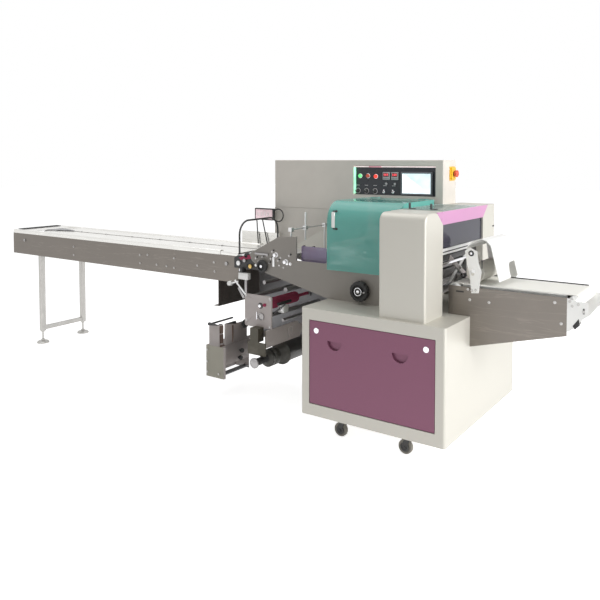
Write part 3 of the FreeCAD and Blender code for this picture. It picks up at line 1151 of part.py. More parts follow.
def outfeed_side_plates():
    """Stainless side plates that taper towards the free end."""
    outline = [(OUTFEED_START, CABINET_TOP), (CABINET_LENGTH, CABINET_TOP),
               (CABINET_LENGTH, OUTFEED_ROOT_BOTTOM),
               (OUTFEED_END, OUTFEED_END_BOTTOM), (OUTFEED_END, OUTFEED_TOP), (OUTFEED_START, OUTFEED_TOP)]
    plates = []
    for y0 in (OUTFEED_FRONT, OUTFEED_REAR - OUTFEED_SHEET):
        plates.append(plate_y(outline, y0, y0 + OUTFEED_SHEET))
    return group(plates)


def outfeed_end_brackets():
    """Pale end brackets that hold the tail roller."""
    x0, x1, low = OUTFEED_END, BRACKET_END, OUTFEED_END_BOTTOM
    outline = [(x0, OUTFEED_TOP), (x0 + 43, OUTFEED_TOP - 10), (x1, OUTFEED_TOP - 14), (x1, low + 105),
               (x1 - 16, low + 92), (x1 - 50, low + 46), (x0 + 7, low + 22), (x0, low + 22)]
    brackets = []
    for y0 in (OUTFEED_FRONT, OUTFEED_REAR - OUTFEED_SHEET):
        brackets.append(plate_y(outline, y0, y0 + OUTFEED_SHEET))
    return group(brackets)


def outfeed_cross_tubes():
    return group([rod_y(x, z, 10, OUTFEED_FRONT + OUTFEED_SHEET, OUTFEED_REAR - OUTFEED_SHEET)
                  for x, z in ((CABINET_LENGTH + 45, OUTFEED_TOP - 202),
                               (OUTFEED_END - 156, OUTFEED_TOP - 152),
                               (OUTFEED_END - 36, OUTFEED_TOP - 82))])


def outfeed_rollers():
    """Drive and tail rollers of the outfeed belt with stub shafts through the plates."""
    rollers = []
    for x in (BELT_DRIVE_X, BELT_TAIL_X):
        drum = rod_y(x, BELT_Z, BELT_ROLLER, BELT_Y0, BELT_Y1)
        shaft = rod_y(x, BELT_Z, 9, OUTFEED_FRONT + OUTFEED_SHEET, OUTFEED_REAR - OUTFEED_SHEET)
        rollers.append(drum.fuse(shaft))
    return group(rollers)


def outfeed_bed():
    """Slider bed that carries the upper run of the belt."""
    top = BELT_TOP - BELT_THICK
    x0, x1 = BELT_DRIVE_X + BELT_ROLLER + 6, BELT_TAIL_X - BELT_ROLLER - 10
    plate = box(x0, x1, OUTFEED_FRONT + OUTFEED_SHEET, OUTFEED_REAR - OUTFEED_SHEET, top - 30, top - 27)
    ribs = [box(x0, x1, y, y + 3, top - 27, top) for y in (BELT_Y0 + 20, OUTFEED_CENTRE, BELT_Y1 - 23)]
    skid = box(x0, x1, BELT_Y0, BELT_Y1, top - 3, top)
    return fused([plate, skid] + ribs)


def outfeed_belt():
    """White belt as one closed loop round both rollers."""
    def stadium(radius):
        ends = [rod_y(x, BELT_Z, radius, BELT_Y0, BELT_Y1) for x in (BELT_DRIVE_X, BELT_TAIL_X)]
        return fused(ends + [box(BELT_DRIVE_X, BELT_TAIL_X, BELT_Y0, BELT_Y1, BELT_Z - radius,
                                 BELT_Z + radius)])
    return stadium(BELT_ROLLER + BELT_THICK).cut(stadium(BELT_ROLLER))


def outfeed_guide():
    """Black edge strip along the rear of the belt."""
    return box(BELT_DRIVE_X + 25, BELT_TAIL_X, BELT_Y1, OUTFEED_REAR, OUTFEED_TOP, BELT_TOP + 5)


PRESS_Z = BELT_TOP + MOVING_GAP + PRESS_RADIUS
PRESS_SHAFT = 9.0


PRESS_PROFILE = [(-39, 173), (-28, 195), (-3, 215), (39, 229), (66, 222), (89, 199), (133, 23)]


def press_plates():
    """Near arm and far end plate that stand on the outfeed sides and carry the press roller and its cover."""
    arm = [(-6, -44), (-14, 43), (-29, 98), (-41, 165), (-16, 183), (20, 166), (28, 110), (43, 69), (30, -40)]
    end = [(-6, -44), (-14, 43), (-29, 98)] + PRESS_PROFILE + [(80, -44)]
    plates = []
    for outline, y0 in ((arm, OUTFEED_FRONT - PRESS_PLATE), (end, OUTFEED_REAR)):
        plate = plate_y([(PRESS_X + x, BELT_TOP + z) for x, z in outline], y0, y0 + PRESS_PLATE)
        plates.append(plate.cut(rod_y(PRESS_X, PRESS_Z, PRESS_SHAFT + RUNNING_FIT, y0, y0 + PRESS_PLATE)))
    return group(plates)


def press_roller():
    """Soft press roller on a shaft that turns in the two plates."""
    y0, y1 = OUTFEED_CENTRE - PRESS_LENGTH / 2, OUTFEED_CENTRE + PRESS_LENGTH / 2
    drum = rod_y(PRESS_X, PRESS_Z, PRESS_RADIUS, y0, y1)
    drum = round_edges(drum, 5.0, lambda e: isinstance(e.Curve, Part.Circle) and e.Length > 10)
    shaft = rod_y(PRESS_X, PRESS_Z, PRESS_SHAFT, OUTFEED_FRONT - PRESS_PLATE, OUTFEED_REAR + PRESS_PLATE)
    return fused([drum, shaft])


def press_cover():
    """Bent sheet guard over the press roller, with a rounded cut-out low on its far side."""
    outer = [(PRESS_X + x, BELT_TOP + z) for x, z in PRESS_PROFILE]
    inner = [(x - SHEET * (x > PRESS_X + 50) + SHEET * (x < PRESS_X), z - SHEET) for x, z in outer]
    inner[0] = (outer[0][0] + SHEET, outer[0][1])
    inner[-1] = (outer[-1][0] - SHEET, outer[-1][1])
    sheet = plate_y(outer + inner[::-1], OUTFEED_FRONT, OUTFEED_REAR)
    window = box(PRESS_X + 60, PRESS_X + 200, OUTFEED_REAR - 120, OUTFEED_REAR - 14, BELT_TOP, BELT_TOP + 96)
    window = round_edges(window, 36.0, lambda e: along(e, X_AXIS) and middle(e).y < OUTFEED_REAR - 100
                         and middle(e).z > BELT_TOP + 50)
    return sheet.cut(window)


def jaw_top_guard():
    """Tinted sheet on the roof with two folded handles."""
    z0 = HOUSING_TOP
    sheet = box(HOUSING_X + 8, HOUSING_END - 10, COLUMN_INSIDE + 30, REAR_BOX_Y - 6, z0, z0 + HOOD_SHEET)
    parts = [round_edges(sheet, 10.0, lambda e: along(e, Z_AXIS))]
    for x in (HOUSING_X + 40, HOUSING_X + 160):
        foot = box(x, x + 34, COLUMN_INSIDE + 44, COLUMN_INSIDE + 64, z0 + HOOD_SHEET, z0 + HOOD_SHEET + 3)
        post = box(x, x + 3, COLUMN_INSIDE + 44, COLUMN_INSIDE + 64, z0 + HOOD_SHEET, z0 + HOOD_SHEET + 30)
        parts.append(fused([foot, post]))
    return group(parts)


# ---------------------------------------------------------------- node list
def build():
    nodes = {
        "cabinet_front_frame": cabinet_front_frame(),
        "cabinet_shell": fused([cabinet_floor(), cabinet_side_walls(), cabinet_rear_wall(), cabinet_top()]),
        "front_panel": front_panel(),
        "panel_locks": panel_locks(),
        "caster_mounts": caster_mounts(),
        "front_side_plate": front_side_plate(),
        "rear_side_plate": rear_side_plate(),
        "cross_bars": group([cross_bars(), hand_wheel_bearing()]),
        "electrical_cabinet": electrical_cabinet(),
        "rear_housing": rear_housing(),
        "control_panel": control_panel(),
        "touch_screen": touch_screen(),
        "panel_controls": group([push_buttons(), selector_knobs()]),
        "emergency_stop": emergency_stop(),
        "front_column": front_column(),
        "rear_column": rear_column(),
        "housing_roof": housing_roof(),
        "purple_fascia": purple_fascia(),
        "smoked_screen": smoked_screen(),
        "jaw_top_guard": jaw_top_guard(),
        "upper_jaw": jaw(UPPER_JAW_Z),
        "lower_jaw": jaw(LOWER_JAW_Z),
        "jaw_bearings": jaw_bearings(),
        "guard_hood": guard_hood(),
        "hood_hinges": hood_hinges(),
        "fin_seal_unit": fin_seal_unit(),
        "hand_wheel": hand_wheel(),
        "infeed_side_plates": group([infeed_side_plates(), infeed_drop_plate()]),
        "infeed_rails": group([infeed_rails(), infeed_guides()]),
        "infeed_deck": infeed_deck(),
        "infeed_chain": infeed_chain(),
        "infeed_shafts": infeed_shafts(),
        "infeed_stand": group([infeed_legs(), infeed_feet()]),
        "product_arch": product_arch(),
        "counter_display": counter_display(),
        "bag_former": bag_former(),
        "wrapping_table": group([wrapping_table(), former_gantry()]),
        "former_guard": former_guard(),
        "film_rear_plate": film_rear_plate(),
        "film_front_plate": group([film_front_plate(), carriage_bracket()]),
        "film_guide_rollers": film_guide_rollers(),
        "feed_roller": feed_roller(),
        "film_reel": film_reel(),
        "tension_unit": group([tension_unit(), tension_knobs()]),
        "outfeed_side_plates": group([outfeed_side_plates(), outfeed_cross_tubes()]),
        "outfeed_end_brackets": outfeed_end_brackets(),
        "outfeed_bed": group([outfeed_bed(), outfeed_rollers(), outfeed_guide()]),
        "outfeed_belt": outfeed_belt(),
        "press_plates": press_plates(),
        "press_roller": press_roller(),
        "press_cover": press_cover(),
    }
    for n, (x, y) in enumerate(CASTERS, start=1):
        nodes[f"caster_fork_{n}"] = caster_fork(x, y)
        nodes[f"caster_wheel_{n}"] = caster_wheel(x, y)
    return nodes


NODES = build()
EXTENT = group(NODES.values()).optimalBoundingBox(False, False)
SHIFT = V(-EXTENT.Center.x, -EXTENT.Center.y, -EXTENT.ZMin)

os.makedirs("parts", exist_ok=True)
for name, shape in NODES.items():
    shape.translated(SHIFT).exportStep(f"parts/{name}.step")
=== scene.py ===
"""Looks of a horizontal flow wrapper: finishes, fittings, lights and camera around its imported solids."""
import json
import logging
import math
from dataclasses import dataclass, field
from enum import Enum
from typing import Callable, Iterable, Sequence

import bmesh
import bpy
from mathutils import Matrix, Vector

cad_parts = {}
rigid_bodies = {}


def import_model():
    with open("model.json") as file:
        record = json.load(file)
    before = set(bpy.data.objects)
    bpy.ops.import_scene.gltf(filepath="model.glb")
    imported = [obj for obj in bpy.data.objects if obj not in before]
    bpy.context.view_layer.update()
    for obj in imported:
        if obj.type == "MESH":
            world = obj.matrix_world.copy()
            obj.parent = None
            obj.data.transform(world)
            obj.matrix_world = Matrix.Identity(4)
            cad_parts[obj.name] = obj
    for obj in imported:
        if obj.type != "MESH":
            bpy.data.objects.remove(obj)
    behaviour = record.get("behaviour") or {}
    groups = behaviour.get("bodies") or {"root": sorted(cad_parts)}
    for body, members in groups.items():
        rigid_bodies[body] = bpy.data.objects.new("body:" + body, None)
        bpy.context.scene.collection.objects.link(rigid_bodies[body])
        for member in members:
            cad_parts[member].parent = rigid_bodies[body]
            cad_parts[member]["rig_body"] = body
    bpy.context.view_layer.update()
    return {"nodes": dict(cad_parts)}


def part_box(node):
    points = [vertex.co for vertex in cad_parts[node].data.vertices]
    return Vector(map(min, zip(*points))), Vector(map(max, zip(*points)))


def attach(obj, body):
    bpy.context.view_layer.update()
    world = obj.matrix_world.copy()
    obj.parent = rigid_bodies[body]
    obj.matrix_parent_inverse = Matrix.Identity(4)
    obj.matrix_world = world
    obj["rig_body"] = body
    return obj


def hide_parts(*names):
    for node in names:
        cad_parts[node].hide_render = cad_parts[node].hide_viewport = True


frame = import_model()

LOG = logging.getLogger("flow_wrapper")
MACHINE = "machine"
Colour = tuple[float, float, float]
Point = Sequence[float]
Node, Socket, Tree = bpy.types.Node, bpy.types.NodeSocket, bpy.types.NodeTree
MM = 0.001


# ---------------------------------------------------------------- shader building
class Nodes:
    """Short ways to place and join shader nodes in one tree."""

    def __init__(self, tree: Tree) -> None:
        """Keeps the tree that nodes are added to.

        Args:
            tree: Material tree or node group.
        """
        self.tree = tree
        self.count = 0

    def add(self, kind: str, **settings: object) -> Node:
        """Adds a node and sets its properties.

        Args:
            kind: Blender's node type name.
            settings: Properties of the node.

        Returns:
            The new node.
        """
        node = self.tree.nodes.new(kind)
        node.location = (self.count * 190, -(self.count % 4) * 160)
        self.count += 1
        for key, value in settings.items():
            setattr(node, key, value)
        return node

    def join(self, value: object, target: Socket) -> None:
        """Feeds an input from a socket, a number or a colour.

        Args:
            value: Socket to link, or number or colour to set.
            target: Input to feed.
        """
        if isinstance(value, Socket):
            self.tree.links.new(value, target)
        elif target.type == "RGBA":
            target.default_value = (*value, 1.0)
        else:
            target.default_value = value

    def maths(self, operation: str, first: object, second: object = 0.0, third: object = 0.0) -> Socket:
        """Adds a Math node.

        Args:
            operation: Name of the operation.
            first: Socket or number.
            second: Socket or number.
            third: Socket or number.

        Returns:
            The result's socket.
        """
        node = self.add("ShaderNodeMath", operation=operation)
        for socket, value in zip(node.inputs, (first, second, third)):
            self.join(value, socket)
        return node.outputs[0]

    def mix(self, factor: object, first: object, second: object) -> Socket:
        """Mixes two colours.

        Args:
            factor: Socket or number from 0 to 1.
            first: Colour or socket at 0.
            second: Colour or socket at 1.

        Returns:
            The mixed colour's socket.
        """
        node = self.add("ShaderNodeMix", data_type="RGBA")
        for index, value in ((0, factor), (6, first), (7, second)):
            self.join(value, node.inputs[index])
        return node.outputs[2]

    def spread(self, value: object, low: float, high: float, to_low: float = 0.0, to_high: float = 1.0
               ) -> Socket:
        """Maps a value's range smoothly onto another range.

        Args:
            value: Socket to map.
            low: Start of its range.
            high: End of its range.
            to_low: Result at the start.
            to_high: Result at the end.

        Returns:
            The mapped value's socket.
        """
        node = self.add("ShaderNodeMapRange", interpolation_type="SMOOTHSTEP")
        for index, number in enumerate((value, low, high, to_low, to_high)):
            self.join(number, node.inputs[index])
        return node.outputs[0]

    def noise(self, vector: Socket, scale: object, detail: float = 2.0, rough: float = 0.5
              ) -> Socket:
        """Adds a noise texture.

        Args:
            vector: Coordinates.
            scale: Socket or number.
            detail: Octaves.
            rough: Strength of the finer octaves.

        Returns:
            The value's socket.
        """
        node = self.add("ShaderNodeTexNoise")
        for label, value in (("Vector", vector), ("Scale", scale), ("Detail", detail), ("Roughness", rough)):
            self.join(value, node.inputs[label])
        return node.outputs["Fac"]

    def stretched(self, vector: Socket, scale: Point) -> Socket:
        """Scales coordinates by a different amount along each axis."""
        node = self.add("ShaderNodeVectorMath", operation="MULTIPLY")
        self.join(vector, node.inputs[0])
        node.inputs[1].default_value = scale
        return node.outputs[0]


def shared_group(name: str, inputs: Sequence[tuple[str, str, float]], outputs: Sequence[tuple[str, str]],
                 fill: Callable[[Nodes, Node, Node], None]) -> Tree:
    """Builds a node group once.

    Args:
        name: Name of the group.
        inputs: Name, socket type and default of each input.
        outputs: Name and socket type of each output.
        fill: Function that places the nodes between the group's input and output.

    Returns:
        The group.
    """
    if name in bpy.data.node_groups:
        return bpy.data.node_groups[name]
    group = bpy.data.node_groups.new(name, "ShaderNodeTree")
    for label, kind, default in inputs:
        socket = group.interface.new_socket(label, in_out="INPUT", socket_type=kind)
        if kind == "NodeSocketFloat":
            socket.default_value = default
    for label, kind in outputs:
        group.interface.new_socket(label, in_out="OUTPUT", socket_type=kind)
    nodes = Nodes(group)
    fill(nodes, nodes.add("NodeGroupInput"), nodes.add("NodeGroupOutput"))
    return group


FLOAT, VECTOR = "NodeSocketFloat", "NodeSocketVector"
FLOOR_DUST, DARK_DUST = (0.42, 0.39, 0.34), (0.35, 0.33, 0.3)
SMOOTH_BELOW, ROUND_ABOVE = math.radians(32), math.radians(35)
MERGE_DISTANCE = 1e-6


def weathering_group() -> Tree:
    """Handling marks and dust of a painted or moulded surface.

    Returns:
        Group with masks for patchy tone, settled dust and rubbed spots, and a fine texture height.
    """
    def fill(n: Nodes, source: Node, sink: Node) -> None:
        """Places the nodes."""
        place = source.outputs["Vector"]
        n.join(n.spread(n.noise(place, 2.2, 4.0, 0.6), 0.32, 0.68), sink.inputs["Tone"])
        fine = n.noise(place, source.outputs["Grain"], 2.0, 0.6)
        n.join(fine, sink.inputs["Height"])
        split = n.add("ShaderNodeSeparateXYZ")
        n.join(place, split.inputs[0])
        low = n.spread(split.outputs["Z"], 0.75, 0.1)
        patches = n.spread(n.noise(place, 9.0, 5.0, 0.65), 0.42, 0.78)
        settled = n.maths("MULTIPLY", low, patches)
        n.join(n.maths("MULTIPLY", settled, source.outputs["Dust"]), sink.inputs["Dust"])
        rubbed = n.spread(n.noise(place, 34.0, 6.0, 0.7), 0.66, 0.74)
        n.join(n.maths("MULTIPLY", rubbed, source.outputs["Wear"]), sink.inputs["Wear"])

    return shared_group("weathering", [("Vector", VECTOR, 0), ("Grain", FLOAT, 700), ("Dust", FLOAT, 0.3),
                                       ("Wear", FLOAT, 0.2)],
                        [("Tone", FLOAT), ("Height", FLOAT), ("Dust", FLOAT), ("Wear", FLOAT)], fill)


def scratches_group() -> Tree:
    """Fine brushed lines and a few longer scratches.

    Returns:
        Group with a line mask, a scratch mask and a height.
    """
    def fill(n: Nodes, source: Node, sink: Node) -> None:
        """Places the nodes."""
        lines = n.noise(source.outputs["Vector"], source.outputs["Scale"], 3.0, 0.65)
        n.join(lines, sink.inputs["Lines"])
        broad = n.noise(source.outputs["Vector"], 22.0, 3.0, 0.5)
        away = n.maths("ABSOLUTE", n.maths("SUBTRACT", broad, 0.5))
        marks = n.maths("SUBTRACT", 1.0, n.spread(away, 0.0, 0.012))
        n.join(n.maths("MULTIPLY", marks, 0.6), sink.inputs["Scratch"])
        n.join(n.maths("ADD", lines, n.maths("MULTIPLY", marks, -0.4)), sink.inputs["Height"])

    return shared_group("brushed_lines", [("Vector", VECTOR, 0), ("Scale", FLOAT, 160)],
                        [("Lines", FLOAT), ("Scratch", FLOAT), ("Height", FLOAT)], fill)


def new_material(name: str) -> tuple[bpy.types.Material, Nodes, Node, Socket]:
    """Starts a material.

    Args:
        name: Name of the finish.

    Returns:
        The material, its node helper, its Principled BSDF and the Object coordinates' socket.
    """
    material = bpy.data.materials.new(name)
    material.use_nodes = True
    nodes = Nodes(material.node_tree)
    shader = material.node_tree.nodes["Principled BSDF"]
    place = nodes.add("ShaderNodeTexCoord").outputs["Object"]
    return material, nodes, shader, place


def use_group(nodes: Nodes, group: Tree, vector: Socket, **values: float
              ) -> Node:
    """Places a shared group in a material.

    Args:
        nodes: Material's helper.
        group: Shared group.
        vector: Coordinates for its Vector input.
        values: Numbers for its other inputs.

    Returns:
        The group node.
    """
    node = nodes.add("ShaderNodeGroup", node_tree=group)
    nodes.join(vector, node.inputs["Vector"])
    for label, value in values.items():
        node.inputs[label].default_value = value
    return node


def bump(nodes: Nodes, shader: Node, height: Socket, strength: float, depth: float) -> None:
    """Feeds a height to the shader's normal.

    Args:
        nodes: Material's helper.
        shader: Principled BSDF.
        height: Height socket.
        strength: Strength of the bump.
        depth: Height in metres that 1 stands for.
    """
    node = nodes.add("ShaderNodeBump")
    node.inputs["Strength"].default_value = strength
    node.inputs["Distance"].default_value = depth
    nodes.join(height, node.inputs["Height"])
    nodes.join(node.outputs[0], shader.inputs["Normal"])


def tint(colour: Colour, factor: float) -> Colour:
    """Makes a colour lighter or darker."""
    return tuple(min(1.0, channel * factor) for channel in colour)


@dataclass(frozen=True)
class Paint:
    """Powder-coated sheet metal with a fine texture, slight tone changes and dust low down."""

    name: str
    colour: Colour
    roughness: float = 0.42
    grain: float = 620.0
    texture: float = 0.35
    dust: float = 0.35
    wear: float = 0.25
    gloss: float = 0.5
    tones: tuple[float, float] = (0.94, 1.04)
    rubbed: float = 0.7
    settled: Colour = FLOOR_DUST
    uneven: tuple[float, float] = (0.05, 0.06)
    dull_dust: float = 0.3
    depth: float = 0.0004

    def build(self) -> bpy.types.Material:
        """Returns the finished material."""
        material, n, shader, place = new_material(self.name)
        group = use_group(n, weathering_group(), place, Grain=self.grain, Dust=self.dust, Wear=self.wear)
        marks = group.outputs
        tone = n.mix(marks["Tone"], *[tint(self.colour, factor) for factor in self.tones])
        rubbed = n.mix(marks["Wear"], tone, tint(self.colour, self.rubbed))
        n.join(n.mix(marks["Dust"], rubbed, self.settled), shader.inputs["Base Color"])
        smoother, rougher = self.uneven
        rough = n.spread(marks["Tone"], 0.0, 1.0, self.roughness - smoother, self.roughness + rougher)
        dull = n.maths("MULTIPLY", marks["Dust"], self.dull_dust)
        n.join(n.maths("ADD", rough, dull), shader.inputs["Roughness"])
        shader.inputs["Specular IOR Level"].default_value = self.gloss
        bump(n, shader, marks["Height"], self.texture, self.depth)
        return material


@dataclass(frozen=True)
class Moulding(Paint):
    """Plastic or rubber with a fine moulded texture and handling marks."""

    roughness: float = 0.45
    grain: float = 900.0
    texture: float = 0.4
    dust: float = 0.25
    wear: float = 0.3
    tones: tuple[float, float] = (0.88, 1.12)
    rubbed: float = 1.3
    settled: Colour = DARK_DUST
    uneven: tuple[float, float] = (0.06, 0.08)
    dull_dust: float = 0.0
    depth: float = 0.0003


class Grain(Enum):
    """Direction in which a metal was brushed or ground, as coordinate scales."""

    ALONG_X = (0.06, 1.0, 1.0)
    ALONG_Y = (1.0, 0.06, 1.0)
    ALONG_Z = (1.0, 1.0, 0.06)
    NONE = (1.0, 1.0, 1.0)


@dataclass(frozen=True)
class Metal:
    """Bare metal with brushed lines, scratches and uneven gloss."""

    name: str
    colour: Colour
    roughness: float = 0.32
    grain: Grain = Grain.ALONG_X
    scale: float = 160.0
    texture: float = 0.25
    tarnish: Colour = (0.30, 0.27, 0.24)
    tarnish_amount: float = 0.25

    def build(self) -> bpy.types.Material:
        """Returns the finished material."""
        material, n, shader, place = new_material(self.name)
        lines = use_group(n, scratches_group(), n.stretched(place, self.grain.value), Scale=self.scale)
        soft = n.mix(lines.outputs["Lines"], tint(self.colour, 0.86), tint(self.colour, 1.1))
        scratched = n.mix(lines.outputs["Scratch"], soft, tint(self.colour, 1.25))
        stain = n.spread(n.noise(place, 6.0, 5.0, 0.62), 0.45, 0.8, 0.0, self.tarnish_amount)
        n.join(n.mix(stain, scratched, self.tarnish), shader.inputs["Base Color"])
        shader.inputs["Metallic"].default_value = 1.0
        shine = n.spread(lines.outputs["Lines"], 0.2, 0.8, self.roughness - 0.08, self.roughness + 0.1)
        n.join(n.maths("ADD", shine, n.maths("MULTIPLY", stain, 0.25)), shader.inputs["Roughness"])
        bump(n, shader, lines.outputs["Height"], self.texture, 0.0003)
        return material


@dataclass(frozen=True)
class Acrylic:
    """Tinted clear sheet with faint wipe marks."""

    name: str
    colour: Colour
    alpha: float
    roughness: float = 0.12
    gloss: float = 0.5

    def build(self) -> bpy.types.Material:
        """Returns the finished material."""
        material, n, shader, place = new_material(self.name)
        haze = n.spread(n.noise(n.stretched(place, (1.0, 1.0, 0.4)), 5.0, 4.0, 0.6), 0.3, 0.75)
        n.join(n.mix(haze, tint(self.colour, 0.92), tint(self.colour, 1.12)), shader.inputs["Base Color"])
        wipes = n.spread(n.noise(n.stretched(place, (0.3, 1.0, 1.0)), 60.0, 3.0, 0.6), 0.4, 0.7)
        n.join(n.spread(wipes, 0.0, 1.0, self.roughness, self.roughness + 0.16), shader.inputs["Roughness"])
        n.join(n.spread(haze, 0.0, 1.0, self.alpha - 0.05, self.alpha + 0.06), shader.inputs["Alpha"])
        shader.inputs["IOR"].default_value = 1.49
        shader.inputs["Specular IOR Level"].default_value = self.gloss
        return material


@dataclass(frozen=True)
class Glow:
    """Lit display or lamp."""

    name: str
    colour: Colour
    strength: float = 1.0
    roughness: float = 0.25

    def build(self) -> bpy.types.Material:
        """Returns the finished material."""
        material, n, shader, place = new_material(self.name)
        cloud = n.spread(n.noise(place, 18.0, 2.0), 0.3, 0.7)
        lit = n.mix(cloud, tint(self.colour, 0.86), tint(self.colour, 1.06))
        n.join(lit, shader.inputs["Base Color"])
        n.join(lit, shader.inputs["Emission Color"])
        shader.inputs["Emission Strength"].default_value = self.strength
        shader.inputs["Roughness"].default_value = self.roughness
        return material


class Finish(Enum):
    """All finishes of the machine."""

    CREAM = Paint("cream_paint", (0.56, 0.515, 0.445))
    # Painted light: the cream paint made lighter for the electrical cabinet and rear housing, standing in for
    # light the lamps do not give them.
    CREAM_REAR = Paint("cream_rear_painted_light", (0.72, 0.68, 0.62), dust=0.15)
    # Painted shade: the cream paint darkened for the front side plate, which stands in shade.
    NOSE = Paint("nose_plate_painted_shade", (0.34, 0.315, 0.285), dust=0.1)
    PLUM = Paint("plum_paint", (0.105, 0.012, 0.036), roughness=0.45, texture=0.2, dust=0.03, wear=0.1,
                 gloss=0.2)
    FASCIA = Paint("fascia_paint", (0.56, 0.26, 0.46), roughness=0.3, texture=0.15)
    BEIGE = Paint("beige_cover_paint", (0.42, 0.40, 0.33))
    PALE = Paint("pale_plate_paint", (0.62, 0.56, 0.54), roughness=0.35)
    OLIVE = Paint("olive_bracket_paint", (0.085, 0.075, 0.050))
    BROWN = Paint("brown_tray_paint", (0.17, 0.11, 0.085))
    WHITE = Paint("white_paint", (0.78, 0.77, 0.74), roughness=0.35, dust=0.2)
    GREY = Paint("grey_paint", (0.050, 0.052, 0.046), roughness=0.5, dust=0.08, gloss=0.25)
    BLACK_STEEL = Paint("black_steel", (0.020, 0.020, 0.021), roughness=0.45, dust=0.05, gloss=0.3)
    STAINLESS = Metal("stainless_sheet", (0.215, 0.195, 0.175), roughness=0.42, grain=Grain.ALONG_X)
    STAINLESS_LEG = Metal("stainless_tube", (0.50, 0.49, 0.47), roughness=0.38, grain=Grain.ALONG_Z)
    DECK = Metal("deck_sheet", (0.80, 0.79, 0.76), roughness=0.3, grain=Grain.ALONG_X, tarnish_amount=0.12)
    BRIGHT = Metal("bright_steel", (0.70, 0.69, 0.67), roughness=0.26, grain=Grain.ALONG_Y,
                   tarnish_amount=0.15)
    MACHINED = Metal("machined_steel", (0.36, 0.35, 0.35), roughness=0.36, grain=Grain.ALONG_Y)
    CHROME = Metal("chrome", (0.80, 0.80, 0.82), roughness=0.12, grain=Grain.NONE, texture=0.05,
                   tarnish_amount=0.06)
    SCREW = Metal("screw_steel", (0.50, 0.49, 0.48), roughness=0.38, grain=Grain.NONE, texture=0.05)
    BRASS = Metal("brass", (0.62, 0.44, 0.16), roughness=0.28, grain=Grain.ALONG_X)
    CONSOLE_BLACK = Moulding("console_black", (0.018, 0.022, 0.030), roughness=0.32, texture=0.15, wear=0.1)
    BEZEL = Moulding("screen_bezel", (0.16, 0.17, 0.19), roughness=0.35)
    BLACK = Moulding("black_plastic", (0.020, 0.019, 0.019), roughness=0.38)
    RED = Moulding("red_plastic", (0.62, 0.035, 0.02), roughness=0.3, texture=0.1)
    YELLOW = Moulding("yellow_plastic", (0.85, 0.50, 0.03), roughness=0.35, texture=0.1)
    RED_RUBBER = Moulding("red_rubber", (0.20, 0.014, 0.045), roughness=0.5)
    TREAD = Moulding("pale_tread", (0.36, 0.34, 0.30), roughness=0.6, wear=0.6)
    HUB = Moulding("grey_hub", (0.12, 0.12, 0.12), roughness=0.5)
    BELT = Moulding("white_belt", (0.84, 0.82, 0.76), roughness=0.55, grain=420.0, texture=0.6, wear=0.1)
    FOAM = Moulding("foam_roller", (0.70, 0.68, 0.62), roughness=0.8, grain=260.0, texture=0.9, wear=0.1)
    TEAL = Acrylic("teal_acrylic", (0.16, 0.84, 0.70), 0.36)
    TEAL_PALE = Acrylic("pale_teal_acrylic", (0.70, 0.90, 0.87), 0.45)
    VIOLET = Acrylic("violet_acrylic", (0.42, 0.35, 0.58), 0.34)
    SMOKE = Acrylic("smoked_acrylic", (0.012, 0.012, 0.016), 0.9, gloss=0.12)
    REEL = Moulding("reel_core", (0.060, 0.058, 0.048), roughness=0.4)
    PALE_PLASTIC = Moulding("pale_plastic", (0.55, 0.53, 0.54), roughness=0.4)
    DISPLAY = Glow("counter_face", (0.80, 0.62, 0.66), 0.35)
    GREEN_GLOW = Glow("green_edge_light", (0.40, 0.95, 0.62), 0.8)
    SCREEN = Glow("screen_light", (0.80, 0.92, 1.0), 0.9)
    GREEN_LAMP = Glow("green_lamp", (0.15, 0.75, 0.25), 0.7)
    RED_LAMP = Glow("red_lamp", (0.85, 0.05, 0.03), 0.9)
    RED_DIGIT = Glow("red_digits", (1.0, 0.10, 0.12), 1.2)
    PINK = Glow("display_window", (0.75, 0.36, 0.42), 0.25)
    LIGHT_STRIP = Glow("light_strip", (0.95, 0.80, 0.80), 0.55)

    @property
    def material(self) -> bpy.types.Material:
        """Material of this finish, built the first time it is asked for."""
        made = bpy.data.materials.get(self.value.name)
        return made or self.value.build()


CAD_FINISH: dict[Finish, str] = {
    Finish.CREAM: "cabinet_front_frame cabinet_shell rear_side_plate front_column rear_column housing_roof",
    Finish.PLUM: "front_panel",
    Finish.CHROME: "panel_locks film_reel",
    Finish.BLACK_STEEL: "caster_mounts hood_hinges product_arch",
    # The front side plate takes the darkened cream, painted shade.
    Finish.NOSE: "front_side_plate",
    Finish.BRIGHT: "cross_bars jaw_bearings bag_former wrapping_table film_front_plate outfeed_bed",
    # The rear boxes take the lightened cream, painted light.
    Finish.CREAM_REAR: "electrical_cabinet rear_housing",
    Finish.CONSOLE_BLACK: "control_panel",
    Finish.BEZEL: "touch_screen",
    Finish.BLACK: "panel_controls hand_wheel counter_display",
    Finish.RED: "emergency_stop",
    Finish.FASCIA: "purple_fascia",
    Finish.SMOKE: "smoked_screen",
    Finish.TEAL_PALE: "jaw_top_guard",
    Finish.MACHINED: "upper_jaw lower_jaw fin_seal_unit infeed_chain infeed_shafts film_guide_rollers",
    Finish.TEAL: "guard_hood",
    Finish.STAINLESS: "infeed_side_plates outfeed_side_plates",
    Finish.DECK: "infeed_rails infeed_deck",
    Finish.STAINLESS_LEG: "infeed_stand",
    Finish.VIOLET: "former_guard",
    Finish.GREY: "film_rear_plate",
    Finish.RED_RUBBER: "feed_roller",
    Finish.WHITE: "tension_unit outfeed_end_brackets press_plates press_cover",
    Finish.BELT: "outfeed_belt",
    Finish.FOAM: "press_roller",
}


def dress_solids() -> None:
    """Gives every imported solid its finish."""
    finishes = {name: finish for finish, names in CAD_FINISH.items() for name in names.split()}
    casters = {"caster_fork": Finish.BLACK_STEEL, "caster_wheel": Finish.TREAD}
    for name, node in frame["nodes"].items():
        finish = finishes.get(name) or casters[name.rpartition("_")[0]]
        for place in node.material_slots:
            place.material = finish.material
        if not node.material_slots:
            node.data.materials.append(finish.material)


